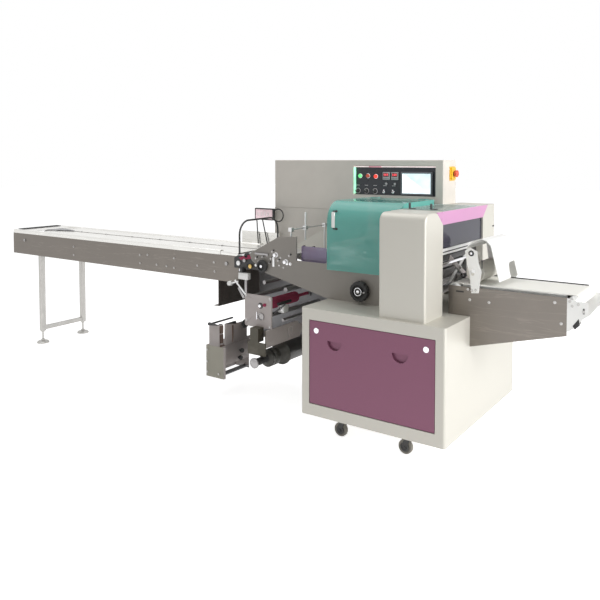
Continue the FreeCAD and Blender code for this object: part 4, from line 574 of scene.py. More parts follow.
# ---------------------------------------------------------------- modelling
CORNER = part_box("cabinet_front_frame")[0]
FRONT, BACK = Vector((0, -1, 0)), Vector((0, 1, 0))
OUT, UP = Vector((1, 0, 0)), Vector((0, 0, 1))
Pick = Callable[[object], bool]


def spot(x: float, y: float, z: float) -> Vector:
    """Place in metres of a point in millimetres from the cabinet's front infeed corner on the floor."""
    return Vector((CORNER.x + x * MM, CORNER.y + y * MM, z * MM))


@dataclass(frozen=True)
class Extent:
    """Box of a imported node, in millimetres from the cabinet's corner."""

    x0: float
    x1: float
    y0: float
    y1: float
    z0: float
    z1: float

    @classmethod
    def of(cls, node: str) -> "Extent":
        """Reads the box of a node.

        Args:
            node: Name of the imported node.

        Returns:
            Its box.
        """
        low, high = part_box(node)
        return cls((low.x - CORNER.x) / MM, (high.x - CORNER.x) / MM, (low.y - CORNER.y) / MM,
                   (high.y - CORNER.y) / MM, low.z / MM, high.z / MM)


def clear_selection() -> None:
    """Deselects every object."""
    bpy.ops.object.select_all(action="DESELECT")


def facing(direction: Vector) -> Pick:
    """Picks faces whose normal points a given way."""
    return lambda face: face.normal.dot(direction) > 0.9


class Shape:
    """One mesh: a primitive added at its size and place, shaped in edit mode."""

    def __init__(self, finish: Finish, obj: bpy.types.Object | None = None) -> None:
        """Takes over the newest object and gives it its finish.

        Args:
            finish: Finish of the whole shape.
            obj: Object to take over, or none for the active one.
        """
        self.obj = obj or bpy.context.object
        self.make_active()
        bpy.ops.object.transform_apply(location=True, rotation=True, scale=True)
        self.obj.data.materials.clear()
        self.obj.data.materials.append(finish.material)

    def make_active(self) -> None:
        """Selects only this shape."""
        clear_selection()
        self.obj.select_set(True)
        bpy.context.view_layer.objects.active = self.obj

    @classmethod
    def block(cls, finish: Finish, low: Point, high: Point, soft: float = 0.0) -> "Shape":
        """Adds a block.

        Args:
            finish: Its finish.
            low: Lowest corner in millimetres.
            high: Highest corner in millimetres.
            soft: Rounding of its edges in millimetres.

        Returns:
            The block.
        """
        clear_selection()
        first, last = spot(*low), spot(*high)
        bpy.ops.mesh.primitive_cube_add(size=1, location=(first + last) / 2, scale=last - first)
        shape = cls(finish)
        return shape.soften(soft) if soft else shape

    @classmethod
    def drum(cls, finish: Finish, start: Point, end: Point, radius: float, tip: float | None = None,
             soft: float = 0.0, sides: int = 28) -> "Shape":
        """Adds a round bar or cone between two points.

        Args:
            finish: Its finish.
            start: Centre of the first end in millimetres.
            end: Centre of the last end in millimetres.
            radius: Radius at the start in millimetres.
            tip: Radius at the end, or none for the same.
            soft: Rounding of its rims in millimetres.
            sides: Sides of the round.

        Returns:
            The bar.
        """
        clear_selection()
        first, last = spot(*start), spot(*end)
        along = last - first
        bpy.ops.mesh.primitive_cone_add(vertices=sides, radius1=radius * MM,
                                        radius2=(radius if tip is None else tip) * MM, depth=along.length,
                                        location=(first + last) / 2,
                                        rotation=along.to_track_quat("Z", "Y").to_euler())
        shape = cls(finish)
        return shape.soften(soft) if soft else shape

    @classmethod
    def stud(cls, finish: Finish, x: float, z: float, start: float, end: float, radius: float,
             soft: float = 0.0, tip: float | None = None, sides: int = 28) -> "Shape":
        """Adds a round bar that runs from front to back."""
        return cls.drum(finish, (x, start, z), (x, end, z), radius, tip, soft, sides)

    @classmethod
    def hoop(cls, finish: Finish, centre: Point, radius: float, thick: float) -> "Shape":
        """Adds a ring of round section that faces the front.

        Args:
            finish: Its finish.
            centre: Its centre in millimetres.
            radius: Radius of the ring's middle line.
            thick: Radius of its section.

        Returns:
            The ring.
        """
        clear_selection()
        turn = FRONT.to_track_quat("Z", "Y").to_euler()
        bpy.ops.mesh.primitive_torus_add(location=spot(*centre), rotation=turn, major_radius=radius * MM,
                                         minor_radius=thick * MM, major_segments=36, minor_segments=10)
        return cls(finish)

    @classmethod
    def plate(cls, finish: Finish, outline: Sequence[Point], push: Point, soft: float = 0.0) -> "Shape":
        """Adds a flat outline and extrudes it to a plate.

        Args:
            finish: Its finish.
            outline: Corner points in millimetres, in order.
            push: Thickness and direction of the extrusion in millimetres.
            soft: Rounding of its edges in millimetres.

        Returns:
            The plate.
        """
        clear_selection()
        bpy.ops.mesh.primitive_circle_add(vertices=len(outline), radius=1, fill_type="NGON")
        shape = cls(finish)
        for vertex, point in zip(shape.obj.data.vertices, outline):
            vertex.co = spot(*point)
        shape.edit(lambda face: True, lambda: bpy.ops.mesh.extrude_region_move(
            TRANSFORM_OT_translate={"value": Vector(push) * MM}))
        shape.edit(lambda face: True, lambda: bpy.ops.mesh.normals_make_consistent(inside=False))
        return shape.soften(soft) if soft else shape

    @classmethod
    def rod(cls, finish: Finish, points: Sequence[Point], radius: float) -> "Shape":
        """Adds a smoothly bent round rod.

        Args:
            finish: Its finish.
            points: Points of its line in millimetres.
            radius: Its radius.

        Returns:
            The rod.
        """
        clear_selection()
        curve = bpy.data.curves.new("rod", "CURVE")
        curve.dimensions = "3D"
        curve.bevel_depth = radius * MM
        curve.bevel_resolution = 3
        curve.use_fill_caps = True
        line = curve.splines.new("NURBS")
        line.points.add(len(points) - 1)
        for point, place in zip(line.points, points):
            point.co = (*spot(*place), 1)
        line.order_u = 3
        line.use_endpoint_u = True
        line.resolution_u = 6
        obj = bpy.data.objects.new("rod", curve)
        bpy.context.scene.collection.objects.link(obj)
        obj.select_set(True)
        bpy.context.view_layer.objects.active = obj
        bpy.ops.object.convert(target="MESH")
        shape = cls(finish)
        shape.edit(lambda face: True, lambda: bpy.ops.mesh.normals_make_consistent(inside=False))
        return shape

    def edit(self, pick: Pick, action: Callable[[], object]) -> "Shape":
        """Runs an edit-mode tool on picked faces.

        Args:
            pick: Test that a face passes to be picked.
            action: The tool.

        Returns:
            This shape.
        """
        self.make_active()
        bpy.ops.object.mode_set(mode="EDIT")
        bpy.ops.mesh.select_mode(type="FACE")
        bpy.ops.mesh.select_all(action="DESELECT")
        mesh = bmesh.from_edit_mesh(self.obj.data)
        for face in mesh.faces:
            face.select_set(bool(pick(face)))
        bmesh.update_edit_mesh(self.obj.data)
        action()
        bpy.ops.object.mode_set(mode="OBJECT")
        return self

    def inset(self, side: Vector, width: float, depth: float) -> "Shape":
        """Insets the faces of one side and moves them out or in.

        Args:
            side: Direction of the side.
            width: Width of the border in millimetres.
            depth: Height of the inner face in millimetres, negative for a sunk one.

        Returns:
            This shape.
        """
        def shape_side() -> None:
            """Insets the picked faces and pushes them along the side's direction."""
            bpy.ops.mesh.inset(thickness=width * MM, depth=0)
            bpy.ops.mesh.extrude_region_move(TRANSFORM_OT_translate={"value": side * depth * MM})

        return self.edit(facing(side), shape_side)

    def soften(self, width: float, segments: int = 2) -> "Shape":
        """Rounds the sharp edges.

        Args:
            width: Width of the rounding in millimetres.
            segments: Steps of the rounding.

        Returns:
            This shape.
        """
        self.make_active()
        bevel = self.obj.modifiers.new("rounding", "BEVEL")
        bevel.width = width * MM
        bevel.segments = segments
        bevel.limit_method = "ANGLE"
        bevel.angle_limit = ROUND_ABOVE
        bpy.ops.object.modifier_apply(modifier=bevel.name)
        return self

    def copies(self, steps: Iterable[Point]) -> list["Shape"]:
        """Copies the shape, each copy with its own mesh.

        Args:
            steps: Offset of each copy in millimetres.

        Returns:
            The copies.
        """
        made = []
        for step in steps:
            twin = self.obj.copy()
            twin.data = self.obj.data.copy()
            twin.data.transform(Matrix.Translation(Vector(step) * MM))
            bpy.context.scene.collection.objects.link(twin)
            shape = Shape.__new__(Shape)
            shape.obj = twin
            made.append(shape)
        return made


def assemble(name: str, shapes: Sequence[Shape], body: str = MACHINE, replaces: Sequence[str] = ()
             ) -> bpy.types.Object:
    """Joins shapes to one finished piece that rides on a body.

    Args:
        name: Name of the piece.
        shapes: Shapes to join.
        body: Body that carries it.
        replaces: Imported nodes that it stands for.

    Returns:
        The piece.
    """
    clear_selection()
    for shape in shapes:
        shape.obj.select_set(True)
    piece = shapes[0].obj
    bpy.context.view_layer.objects.active = piece
    if len(shapes) > 1:
        bpy.ops.object.join()
    bpy.ops.object.mode_set(mode="EDIT")
    bpy.ops.mesh.select_all(action="SELECT")
    bpy.ops.mesh.remove_doubles(threshold=MERGE_DISTANCE)
    bpy.ops.object.mode_set(mode="OBJECT")
    bpy.ops.object.shade_smooth_by_angle(angle=SMOOTH_BELOW)
    piece.name = name
    piece.data.name = name
    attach(piece, body)
    if replaces:
        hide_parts(*replaces)
    LOG.info("%s: %d faces on %s", name, len(piece.data.polygons), body)
    return piece


@dataclass(frozen=True)
class Zone:
    """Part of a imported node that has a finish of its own."""

    finish: Finish
    holds: Callable[[Vector], bool]


def in_finishes(node: str, slot: str, base: Finish, *zones: Zone) -> None:
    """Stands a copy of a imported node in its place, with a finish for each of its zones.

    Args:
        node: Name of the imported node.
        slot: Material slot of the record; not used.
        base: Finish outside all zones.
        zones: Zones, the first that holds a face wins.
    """
    source = frame["nodes"][node]
    twin = bpy.data.objects.new(node, source.data.copy())
    bpy.context.scene.collection.objects.link(twin)
    shape = Shape(base, twin)
    for zone in zones:
        twin.data.materials.append(zone.finish.material)
    for face in twin.data.polygons:
        centre = (face.center - Vector((CORNER.x, CORNER.y, 0))) / MM
        face.material_index = next((n for n, zone in enumerate(zones, start=1) if zone.holds(centre)), 0)
    assemble(node + "_finished", [shape], source["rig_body"], [node])


@dataclass(frozen=True)
class Bolts:
    """Hexagon socket screws on washers, all facing one way."""

    radius: float
    height: float
    finish: Finish = Finish.SCREW

    def row(self, places: Sequence[Point], side: Vector = FRONT) -> list[Shape]:
        """Models one screw and copies it to every place.

        Args:
            places: Centre of each seat in millimetres.
            side: Direction in which the heads stand out.

        Returns:
            The screws.
        """
        seat = Vector(places[0])
        washer = Shape.drum(self.finish, seat, seat + side * 1.5, self.radius * 1.5, soft=0.4, sides=18)
        head = Shape.drum(self.finish, seat + side * 1.5, seat + side * self.height, self.radius, sides=18)
        head.inset(side, self.radius * 0.45, -self.height * 0.4)
        head.soften(0.5, 1)
        steps = [Vector(place) - seat for place in places[1:]]
        return [washer, head] + washer.copies(steps) + head.copies(steps)

    def on(self, y: float, places: Sequence[Point], side: Vector = FRONT) -> list[Shape]:
        """Puts screws on an upright face, at places given along it and up it."""
        return self.row([(x, y, z) for x, z in places], side)


def drums(rows: Iterable[tuple]) -> list[Shape]:
    """Adds a round bar for each row of finish, start, end, radius and rounding."""
    return [Shape.drum(finish, start, end, radius, soft=soft) for finish, start, end, radius, soft in rows]


def blocks(rows: Iterable[tuple]) -> list[Shape]:
    """Adds a block for each row of finish, lowest corner, highest corner and rounding."""
    return [Shape.block(*row) for row in rows]


# ---------------------------------------------------------------- sub-assemblies
@dataclass
class InfeedFittings:
    """Screws, end ribs and deck trim of the infeed conveyor."""

    screw: Bolts = Bolts(5.0, 6.0)
    screws: tuple = (
        (-2322, 814), (-2323, 751), (-1582, 811), (-1582, 753), (-1504, 818), (-1414, 757),
        (-1318, 756), (-1247, 816), (-1247, 751), (-1033, 786), (-887, 820), (-881, 761))
    ribs: int = 5
    rib_pitch: float = 12.0
    guide: tuple = (262, 500)
    lip: tuple = (-829, -682)

    def build(self) -> None:
        """Adds all fittings of the infeed."""
        plates, deck = Extent.of("infeed_side_plates"), Extent.of("infeed_deck")
        near = self.screw.on(plates.y0, self.screws)
        assemble("infeed_screws", near + self.screw.on(plates.y1, self.screws, BACK))
        x, z = deck.x0 + 10, deck.z1 + 2
        rib = Shape.block(Finish.BLACK, (x, plates.y0 + 30, z), (x + 8, plates.y1 - 30, z + 4), 0.8)
        steps = [(n * self.rib_pitch, 0, 0) for n in range(1, self.ribs)]
        assemble("infeed_end_ribs", [rib] + rib.copies(steps))
        y, z = (plates.y0 + plates.y1) / 2, deck.z1 + 1
        start, end = deck.x0 + self.guide[0], deck.x0 + self.guide[1]
        wedge = [(start, y - 90, z), (end, y - 10, z), (end, y + 10, z), (start, y + 60, z)]
        assemble("chain_entry_guide", [Shape.plate(Finish.GREY, wedge, (0, 0, 3), 0.6)])
        start, end = self.lip
        y, z = plates.y0 - 4, plates.z1
        outline = [(start, y, z + 1), (end, y, z + 1), (end, y, z + 20), (start, y, z + 24)]
        assemble("deck_end_lip", [Shape.plate(Finish.DECK, outline, (0, 7, 0), 1.2)])


@dataclass
class NoseFittings:
    """Adjusters, links and screws on the front plate over the film carriage."""

    wheel: tuple = (-457, 840)
    wheel_radius: float = 38.0
    adjusters: tuple = ((-363, 914), (-290, 879))
    dot: Bolts = Bolts(4.2, 4.0)
    dots: tuple = (
        (-520, 880), (-498, 862), (-470, 892), (-432, 905), (-405, 886), (-380, 862), (-352, 880),
        (-332, 898), (-420, 858), (-310, 842), (-270, 915), (-255, 868), (-395, 930), (-342, 852))
    link_blocks: tuple = (
        (Finish.WHITE, (-645, 246, 743), (-570, 276, 783), 3),
        (Finish.BLACK_STEEL, (-640, 255, 783), (-620, 293, 812), 1.5),
        (Finish.MACHINED, (-600, 252, 652), (-582, 266, 745), 2))
    link_bars: tuple = (
        (Finish.BRIGHT, (-674, 250, 733), (-590, 250, 653), 6, 1),
        (Finish.MACHINED, (-645, 252, 690), (-602, 252, 630), 9, 2),
        (Finish.WHITE, (-728, 250, 707), (-700, 250, 712), 15, 3),
        (Finish.BRIGHT, (-700, 250, 712), (-648, 250, 727), 5, 0),
        (Finish.BLACK, (-601, 268, 888), (-601, 293, 888), 16, 3),
        (Finish.BRIGHT, (-660, 262, 838), (-660, 274, 838), 15, 2),
        (Finish.MACHINED, (-612, 262, 858), (-612, 274, 858), 11, 2),
        (Finish.BRASS, (-566, 262, 826), (-566, 274, 826), 13, 2),
        (Finish.BRIGHT, (-520, 262, 838), (-520, 274, 838), 9, 2),
        (Finish.BLACK, (-590, 262, 828), (-590, 274, 828), 7, 2))
    flag: tuple = ((-660, 268, 872), (-560, 268, 900), (-520, 268, 880), (-640, 268, 858))

    def build(self) -> None:
        """Adds all fittings of the nose."""
        face = Extent.of("front_side_plate").y0
        rim = Shape.stud(Finish.BLACK, *self.wheel, face - 26, face - 8, self.wheel_radius, 5)
        rim.inset(FRONT, 12, -5)
        hub = Shape.stud(Finish.CHROME, *self.wheel, face - 30, face, 9, 1.5)
        assemble("nose_hand_wheel", [rim, hub])
        knobs = []
        for place in self.adjusters:
            knobs.append(Shape.stud(Finish.CHROME, *place, face - 22, face - 4, 11, 2))
            knobs.append(Shape.stud(Finish.BRIGHT, *place, face - 4, face, 15, 1))
        assemble("nose_adjusters", knobs)
        darks = [Shape.stud(Finish.BLACK, x + 14, z + 9, face - 5, face, 5, 1) for x, z in self.dots[::2]]
        bars = blocks([(Finish.MACHINED, (-520, face - 10, 905), (-420, face, 917), 2),
                       (Finish.BRIGHT, (-388, face - 8, 842), (-372, face, 900), 2)])
        assemble("nose_screws", self.dot.on(face, self.dots) + darks + bars)
        flag = Shape.plate(Finish.RED_RUBBER, self.flag, (0, 5, 0), 1)
        assemble("carriage_links", blocks(self.link_blocks) + [flag] + drums(self.link_bars))


@dataclass
class FilmFittings:
    """Bosses, screws and covers of the film carriage."""

    plate_screw: Bolts = Bolts(6, 5)
    plate_screws: tuple = ((-586, 650), (-584, 500), (-402, 646), (-405, 474))
    cover_screw: Bolts = Bolts(4.5, 4)
    cover_screws: tuple = ((-838, 215), (-838, 290), (-744, 150), (-838, 150))
    nut: tuple = (-473, 598)
    boss: tuple = (-467, 533)
    arm: tuple = ((-395, 262, 548), (-300, 262, 618), (-300, 262, 630), (-395, 262, 560))
    brakes: tuple = (
        (Finish.BROWN, (-775, 228, 330), (-775, 228, 385), 17, 2),
        (Finish.BROWN, (-772, 228, 392), (-772, 228, 440), 15, 2),
        (Finish.BROWN, (-745, 300, 322), (-745, 300, 432), 11, 2))
    brake_block: tuple = ((-790, 360, 330), (-750, 392, 400))

    def front_plate(self) -> None:
        """Finishes the carriage's front plate and adds its screws, boss and nut."""
        face = Extent.of("film_front_plate")
        y = face.y0 + 54
        in_finishes("film_front_plate", "grey_steel", Finish.OLIVE,
                    Zone(Finish.PALE, lambda c: c.y >= y - 0.5 and c.z > 462 and c.y < y + 11),
                    Zone(Finish.PALE, lambda c: c.x > -405 and c.y > face.y0 + 9))
        boss = Shape.stud(Finish.MACHINED, *self.boss, y - 9, y, 23, 3)
        boss.inset(FRONT, 6, -3)
        ring = Shape.hoop(Finish.BLACK_STEEL, (self.nut[0], y - 1, self.nut[1]), 15, 3)
        nut = Shape.stud(Finish.CHROME, *self.nut, y - 12, y, 11, 1.5, sides=6)
        bar = Shape.block(Finish.CHROME, (-503, y - 6, 512), (-496, y, 560), 2)
        assemble("film_plate_fittings", self.plate_screw.on(y, self.plate_screws) + [boss, ring, nut, bar])

    def reel(self) -> None:
        """Finishes the reel's shaft and adds the guide block beside it."""
        reel = Extent.of("film_reel")
        in_finishes("film_reel", "chrome", Finish.REEL,
                    Zone(Finish.MACHINED, lambda c: c.y < reel.y0 + 12.5),
                    Zone(Finish.BLACK, lambda c: c.y < reel.y0 + 119),
                    Zone(Finish.MACHINED, lambda c: c.y > 660))
        guide = [Shape.block(Finish.WHITE, (-382, 300, 560), (-338, 352, 606), 4),
                 Shape.stud(Finish.BLACK, -372, 612, 290, 420, 9, 2),
                 Shape.stud(Finish.CHROME, -352, 584, 292, 300, 8, 1.5),
                 Shape.plate(Finish.BLACK_STEEL, self.arm, (0, 6, 0), 1)]
        assemble("film_guide_block", guide)

    def tension_unit(self) -> None:
        """Finishes the tension unit and adds its brakes and cover screws."""
        box = Extent.of("tension_unit")
        in_finishes("tension_unit", "white_paint", Finish.PALE,
                    Zone(Finish.BLACK, lambda c: c.x > -733 and c.y > 300 and not 300 < c.z < 330),
                    Zone(Finish.BEIGE, lambda c: c.y < box.y0 + 12 and c.z < 322),
                    Zone(Finish.GREY, lambda c: c.z < 145 and c.y > box.y0 + 5),
                    Zone(Finish.BROWN, lambda c: 312 < c.z < 322),
                    Zone(Finish.BLACK_STEEL, lambda c: c.z > 440))
        brakes = drums(self.brakes) + [Shape.block(Finish.MACHINED, *self.brake_block, 4)]
        assemble("tension_fittings", brakes + self.cover_screw.on(box.y0, self.cover_screws))

    def build(self) -> None:
        """Adds all fittings of the film carriage."""
        self.front_plate()
        self.reel()
        self.tension_unit()


@dataclass
class Console:
    """Lamps, temperature controllers, knobs, switches and lit screen of the operator console."""

    lamps: tuple = ((-81, 1376, Finish.GREEN_LAMP), (-26, 1377, Finish.RED), (29, 1374, Finish.RED_LAMP))
    meters: tuple = (101, 159)
    meter_drop: float = 62.0
    pilot_height: float = 1330.0
    knobs: tuple = (-99, -38, 22)
    knob_height: float = 1283.0
    toggles: tuple = (84, 146)
    toggle_height: float = 1278.0
    labels: tuple = (60, 122, 190, 250)

    def lamp(self, x: float, z: float, finish: Finish, face: float) -> list[Shape]:
        """Models one round lamp with its collar."""
        collar = Shape.stud(Finish.CHROME, x, z, face - 5, face, 15, 1.5)
        return [collar, Shape.stud(finish, x, z, face - 14, face - 5, 11.5, 2.5, tip=13)]

    def meter(self, x: float, z: float, face: float) -> list[Shape]:
        """Models one square controller with two rows of plain digits and a row of keys.

        Args:
            x: Its middle along the console in millimetres.
            z: Its middle height in millimetres.
            face: Front of the console's plate in millimetres.

        Returns:
            Its shapes.
        """
        case = Shape.block(Finish.PALE_PLASTIC, (x - 24, face - 9, z - 24), (x + 24, face, z + 24), 3)
        glass = Shape.block(Finish.BLACK, (x - 19, face - 10, z - 5), (x + 19, face - 8, z + 18), 0.8)
        digits = [Shape.hoop(Finish.RED_DIGIT, (x - 11 + n * 11, face - 10.5, z + up), 2.8, 0.9)
                  for n in range(3) for up in (11, 4)]
        keys = blocks((Finish.GREY, (left, face - 11, z - 18), (left + 7, face - 8, z - 12), 1)
                      for left in range(x - 18, x + 13, 10))
        return [case, glass] + digits + keys

    def knob(self, x: float, z: float, face: float) -> list[Shape]:
        """Models one speed dial with a scale ring."""
        scale = Shape.hoop(Finish.PALE_PLASTIC, (x, face - 1.5, z), 15.5, 2.2)
        grip = Shape.stud(Finish.BLACK, x, z, face - 2, face - 20, 12, 2, tip=9)
        mark = Shape.block(Finish.PALE_PLASTIC, (x - 1, face - 21, z), (x + 1, face - 18, z + 8), 0.4)
        return [scale, grip, mark]

    def controls(self, plate: Extent) -> None:
        """Stands lamps, controllers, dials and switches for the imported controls.

        Args:
            plate: Box of the console's plate.
        """
        face = plate.y0
        parts = []
        for x, z, finish in self.lamps:
            parts += self.lamp(x, z, finish, face)
        for x in self.meters:
            parts += self.meter(x, plate.z1 - self.meter_drop, face)
            parts.append(Shape.stud(Finish.PALE_PLASTIC, x, self.pilot_height, face - 8, face, 7, 1.5))
        for x in self.knobs:
            parts += self.knob(x, self.knob_height, face)
        for x in self.toggles:
            z = self.toggle_height
            parts.append(Shape.stud(Finish.CHROME, x, z, face - 4, face, 9, 1, sides=6))
            tip = (x + 8, face - 20, z + 14)
            parts.append(Shape.drum(Finish.CHROME, (x, face - 4, z), tip, 3, tip=4, soft=1))
        label = Shape.block(Finish.PALE_PLASTIC, (-112, face - 1.2, 1316), (-88, face, 1320), 0.3)
        parts += [label] + label.copies([(step, 0, 0) for step in self.labels])
        assemble("console_controls", parts, replaces=["panel_controls"])

    def build(self) -> None:
        """Adds the console's fittings, its light strip and its lit screen."""
        plate = Extent.of("control_panel")
        self.controls(plate)
        face, x, top = plate.y0, plate.x0, plate.z1
        end = plate.x1 - 2
        strip = blocks([(Finish.LIGHT_STRIP, (x + 2, face - 24, top - 9), (end, face - 2, top - 2), 2),
                        (Finish.GREEN_GLOW, (x + 1, face - 25, plate.z0 + 6), (x + 5, face - 2, top - 10), 1),
                        (Finish.PINK, (-10, face - 25, top - 10), (76, face - 3, top - 1.5), 1)])
        assemble("console_light_strip", strip)
        screen = Extent.of("touch_screen")
        in_finishes("touch_screen", "screen", Finish.BEZEL,
                    Zone(Finish.SCREEN, lambda c: screen.x0 + 11 < c.x < screen.x1 - 11 and
                         screen.z0 + 9 < c.z < screen.z1 - 9 and c.y < screen.y0 + 4))


@dataclass
class EmergencyStop:
    """Red mushroom button on a yellow box at the end of the electrical cabinet."""

    radius: float = 22.0

    def build(self) -> None:
        """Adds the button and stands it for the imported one."""
        seat = Extent.of("emergency_stop")
        x, y, z = seat.x0, (seat.y0 + seat.y1) / 2, (seat.z0 + seat.z1) / 2
        box = blocks([(Finish.YELLOW, (x, seat.y0, seat.z0), (x + 5, seat.y1, seat.z1), 2),
                      (Finish.YELLOW, (x + 5, y - 31, z - 35), (x + 14, y + 31, z + 35), 3),
                      (Finish.RED, (seat.x1 - 3, y - 4, z - 15), (seat.x1, y + 4, z + 15), 1.5)])
        collar = Shape.drum(Finish.BLACK, (x + 14, y, z), (x + 20, y, z), 15, soft=1)
        cap = Shape.drum(Finish.RED, (x + 19, y, z), (seat.x1, y, z), self.radius - 4, self.radius, soft=4)
        cap.inset(OUT, 5, -1.5)
        assemble("emergency_button", box + [collar, cap], replaces=["emergency_stop"])


@dataclass
class HoodFittings:
    """Handle strip on the tinted hood, the fin-seal works seen through it and the hand wheel's trim."""

    motor: tuple = (330, 1070)
    wheels: tuple = ((150, 950), (235, 950))
    arm: tuple = ((150, 440, 1090), (300, 440, 1120), (300, 440, 1098), (150, 440, 1068))
    bars: tuple = (
        (Finish.WHITE, (60, 420, 985), (110, 420, 1020), 7, 2),
        (Finish.WHITE, (70, 418, 1022), (104, 418, 978), 6, 2),
        (Finish.BRIGHT, (225, 447, 1098), (225, 447, 946), 7, 0))
    bodies: tuple = (
        (Finish.GREY, (268, 560, 1020), (392, 700, 1128), 8),
        (Finish.BRIGHT, (120, 420, 905), (260, 470, 918), 2),
        (Finish.MACHINED, (290, 420, 900), (390, 600, 945), 5),
        (Finish.MACHINED, (318, 600, 892), (344, 640, 1022), 3))

    def handle(self) -> None:
        """Adds the handle strip that turns with the hood."""
        hood = Extent.of("guard_hood")
        x, y = hood.x0 + 44, hood.y0
        strip = Shape.block(Finish.WHITE, (x - 11, y - 8, 1100), (x + 11, y, 1188), 4)
        strip.inset(FRONT, 4, -1.5)
        screws = [Shape.stud(Finish.BLACK, x + 20, z, y - 5, y, 7, 1.5) for z in (1192, 1094)]
        clips = blocks((Finish.BLACK, (x - 4, y - 4, z), (x + 24, y, z + 8), 1) for z in (1188, 1090))
        assemble("hood_handle", [strip] + screws + clips, body="hood")

    def works(self) -> None:
        """Adds the motor, wheels and bars under the hood."""
        motor = Shape.stud(Finish.BLACK_STEEL, *self.motor, 470, 640, 62, 6)
        motor.inset(FRONT, 16, 8)
        parts = [motor, Shape.plate(Finish.BRIGHT, self.arm, (0, 14, 0), 2)]
        for place in self.wheels:
            wheel = Shape.stud(Finish.MACHINED, *place, 430, 560, 34, 3)
            parts += [wheel.inset(FRONT, 10, -6), Shape.stud(Finish.CHROME, *place, 418, 432, 11, 2)]
        assemble("fin_seal_works", parts + blocks(self.bodies) + drums(self.bars))

    def hand_wheel(self) -> None:
        """Adds the ring, boss and grip that turn with the hand wheel."""
        wheel = Extent.of("hand_wheel")
        x, y, z = (wheel.x0 + wheel.x1) / 2, wheel.y0, (wheel.z0 + wheel.z1) / 2
        ring = Shape.hoop(Finish.CHROME, (x, y + 1, z), 21, 2.2)
        boss = Shape.stud(Finish.CHROME, x, z, y - 2, y + 8, 9, 2)
        grip = Shape.stud(Finish.PALE_PLASTIC, x + 38, z, y - 6, y + 8, 5, 1.5)
        assemble("hand_wheel_trim", [ring, boss, grip], body="hand_wheel")

    def build(self) -> None:
        """Adds the hood's fittings and the works inside."""
        self.handle()
        self.works()
        self.hand_wheel()


@dataclass
class JawStation:
    """Bars, links and spring of the end-seal drive, seen between the housing's columns."""

    strut: tuple = ((652, 384, 826), (652, 410, 818), (652, 690, 966), (652, 668, 984))
    brace: tuple = ((660, 690, 826), (660, 668, 812), (660, 392, 954), (660, 412, 978))
    bolt: Bolts = Bolts(9, 7)
    bolts: tuple = ((668, 540, 896), (668, 400, 826), (668, 682, 972), (668, 682, 824))
    spring: tuple = (664, 846)
    spring_ends: tuple = (585, 779)
    spring_radius: float = 12.0
    spring_turns: int = 13
    points_a_turn: int = 10
    posts: tuple = (638, 688)

    def coil(self) -> Shape:
        """Winds the spring's wire.

        Returns:
            The wire.
        """
        (x, z), (start, end) = self.spring, self.spring_ends
        steps = self.spring_turns * self.points_a_turn
        points = []
        for n in range(steps + 1):
            turn = n * math.tau / self.points_a_turn
            points.append((x + self.spring_radius * math.cos(turn), start + (end - start) * n / steps,
                           z + self.spring_radius * math.sin(turn)))
        return Shape.rod(Finish.BLACK_STEEL, points, 2.6)

    def build(self) -> None:
        """Adds the works of the jaw station."""
        y0, rear = Extent.of("front_column").y1, Extent.of("rear_column")
        y1 = rear.y0
        bars = blocks([(Finish.WHITE, (648, y0, 990), (678, y1, 1026), 9),
                       (Finish.BLACK, (676, y0 + 20, 1004), (679, y1 - 20, 1010), 0.8),
                       (Finish.CHROME, (648, y0, 934), (668, y1, 950), 5),
                       (Finish.BLACK_STEEL, (650, y0 + 8, 956), (662, y1 - 8, 984), 2)])
        assemble("jaw_cross_bars", bars)
        links = [Shape.plate(Finish.WHITE, self.strut, (7, 0, 0), 1.5),
                 Shape.plate(Finish.PALE, self.brace, (7, 0, 0), 1.5),
                 Shape.block(Finish.MACHINED, (648, y0, 800), (668, y1, 826), 4)]
        assemble("jaw_drive_links", links + self.bolt.row(self.bolts, OUT))
        core = Shape.stud(Finish.MACHINED, *self.spring, self.spring_ends[0] - 10, y1, 6)
        assemble("jaw_spring", [self.coil(), core])
        posts = [Shape.drum(Finish.BRIGHT, (672, y, 1024), (672, y, 1152), 8, soft=1) for y in self.posts]
        assemble("jaw_posts", posts)
        catch = Shape.block(Finish.BLACK, (rear.x1 - 1, 958, 1085), (rear.x1 + 1.5, 988, 1093), 0.6)
        assemble("rear_column_catch", [catch])


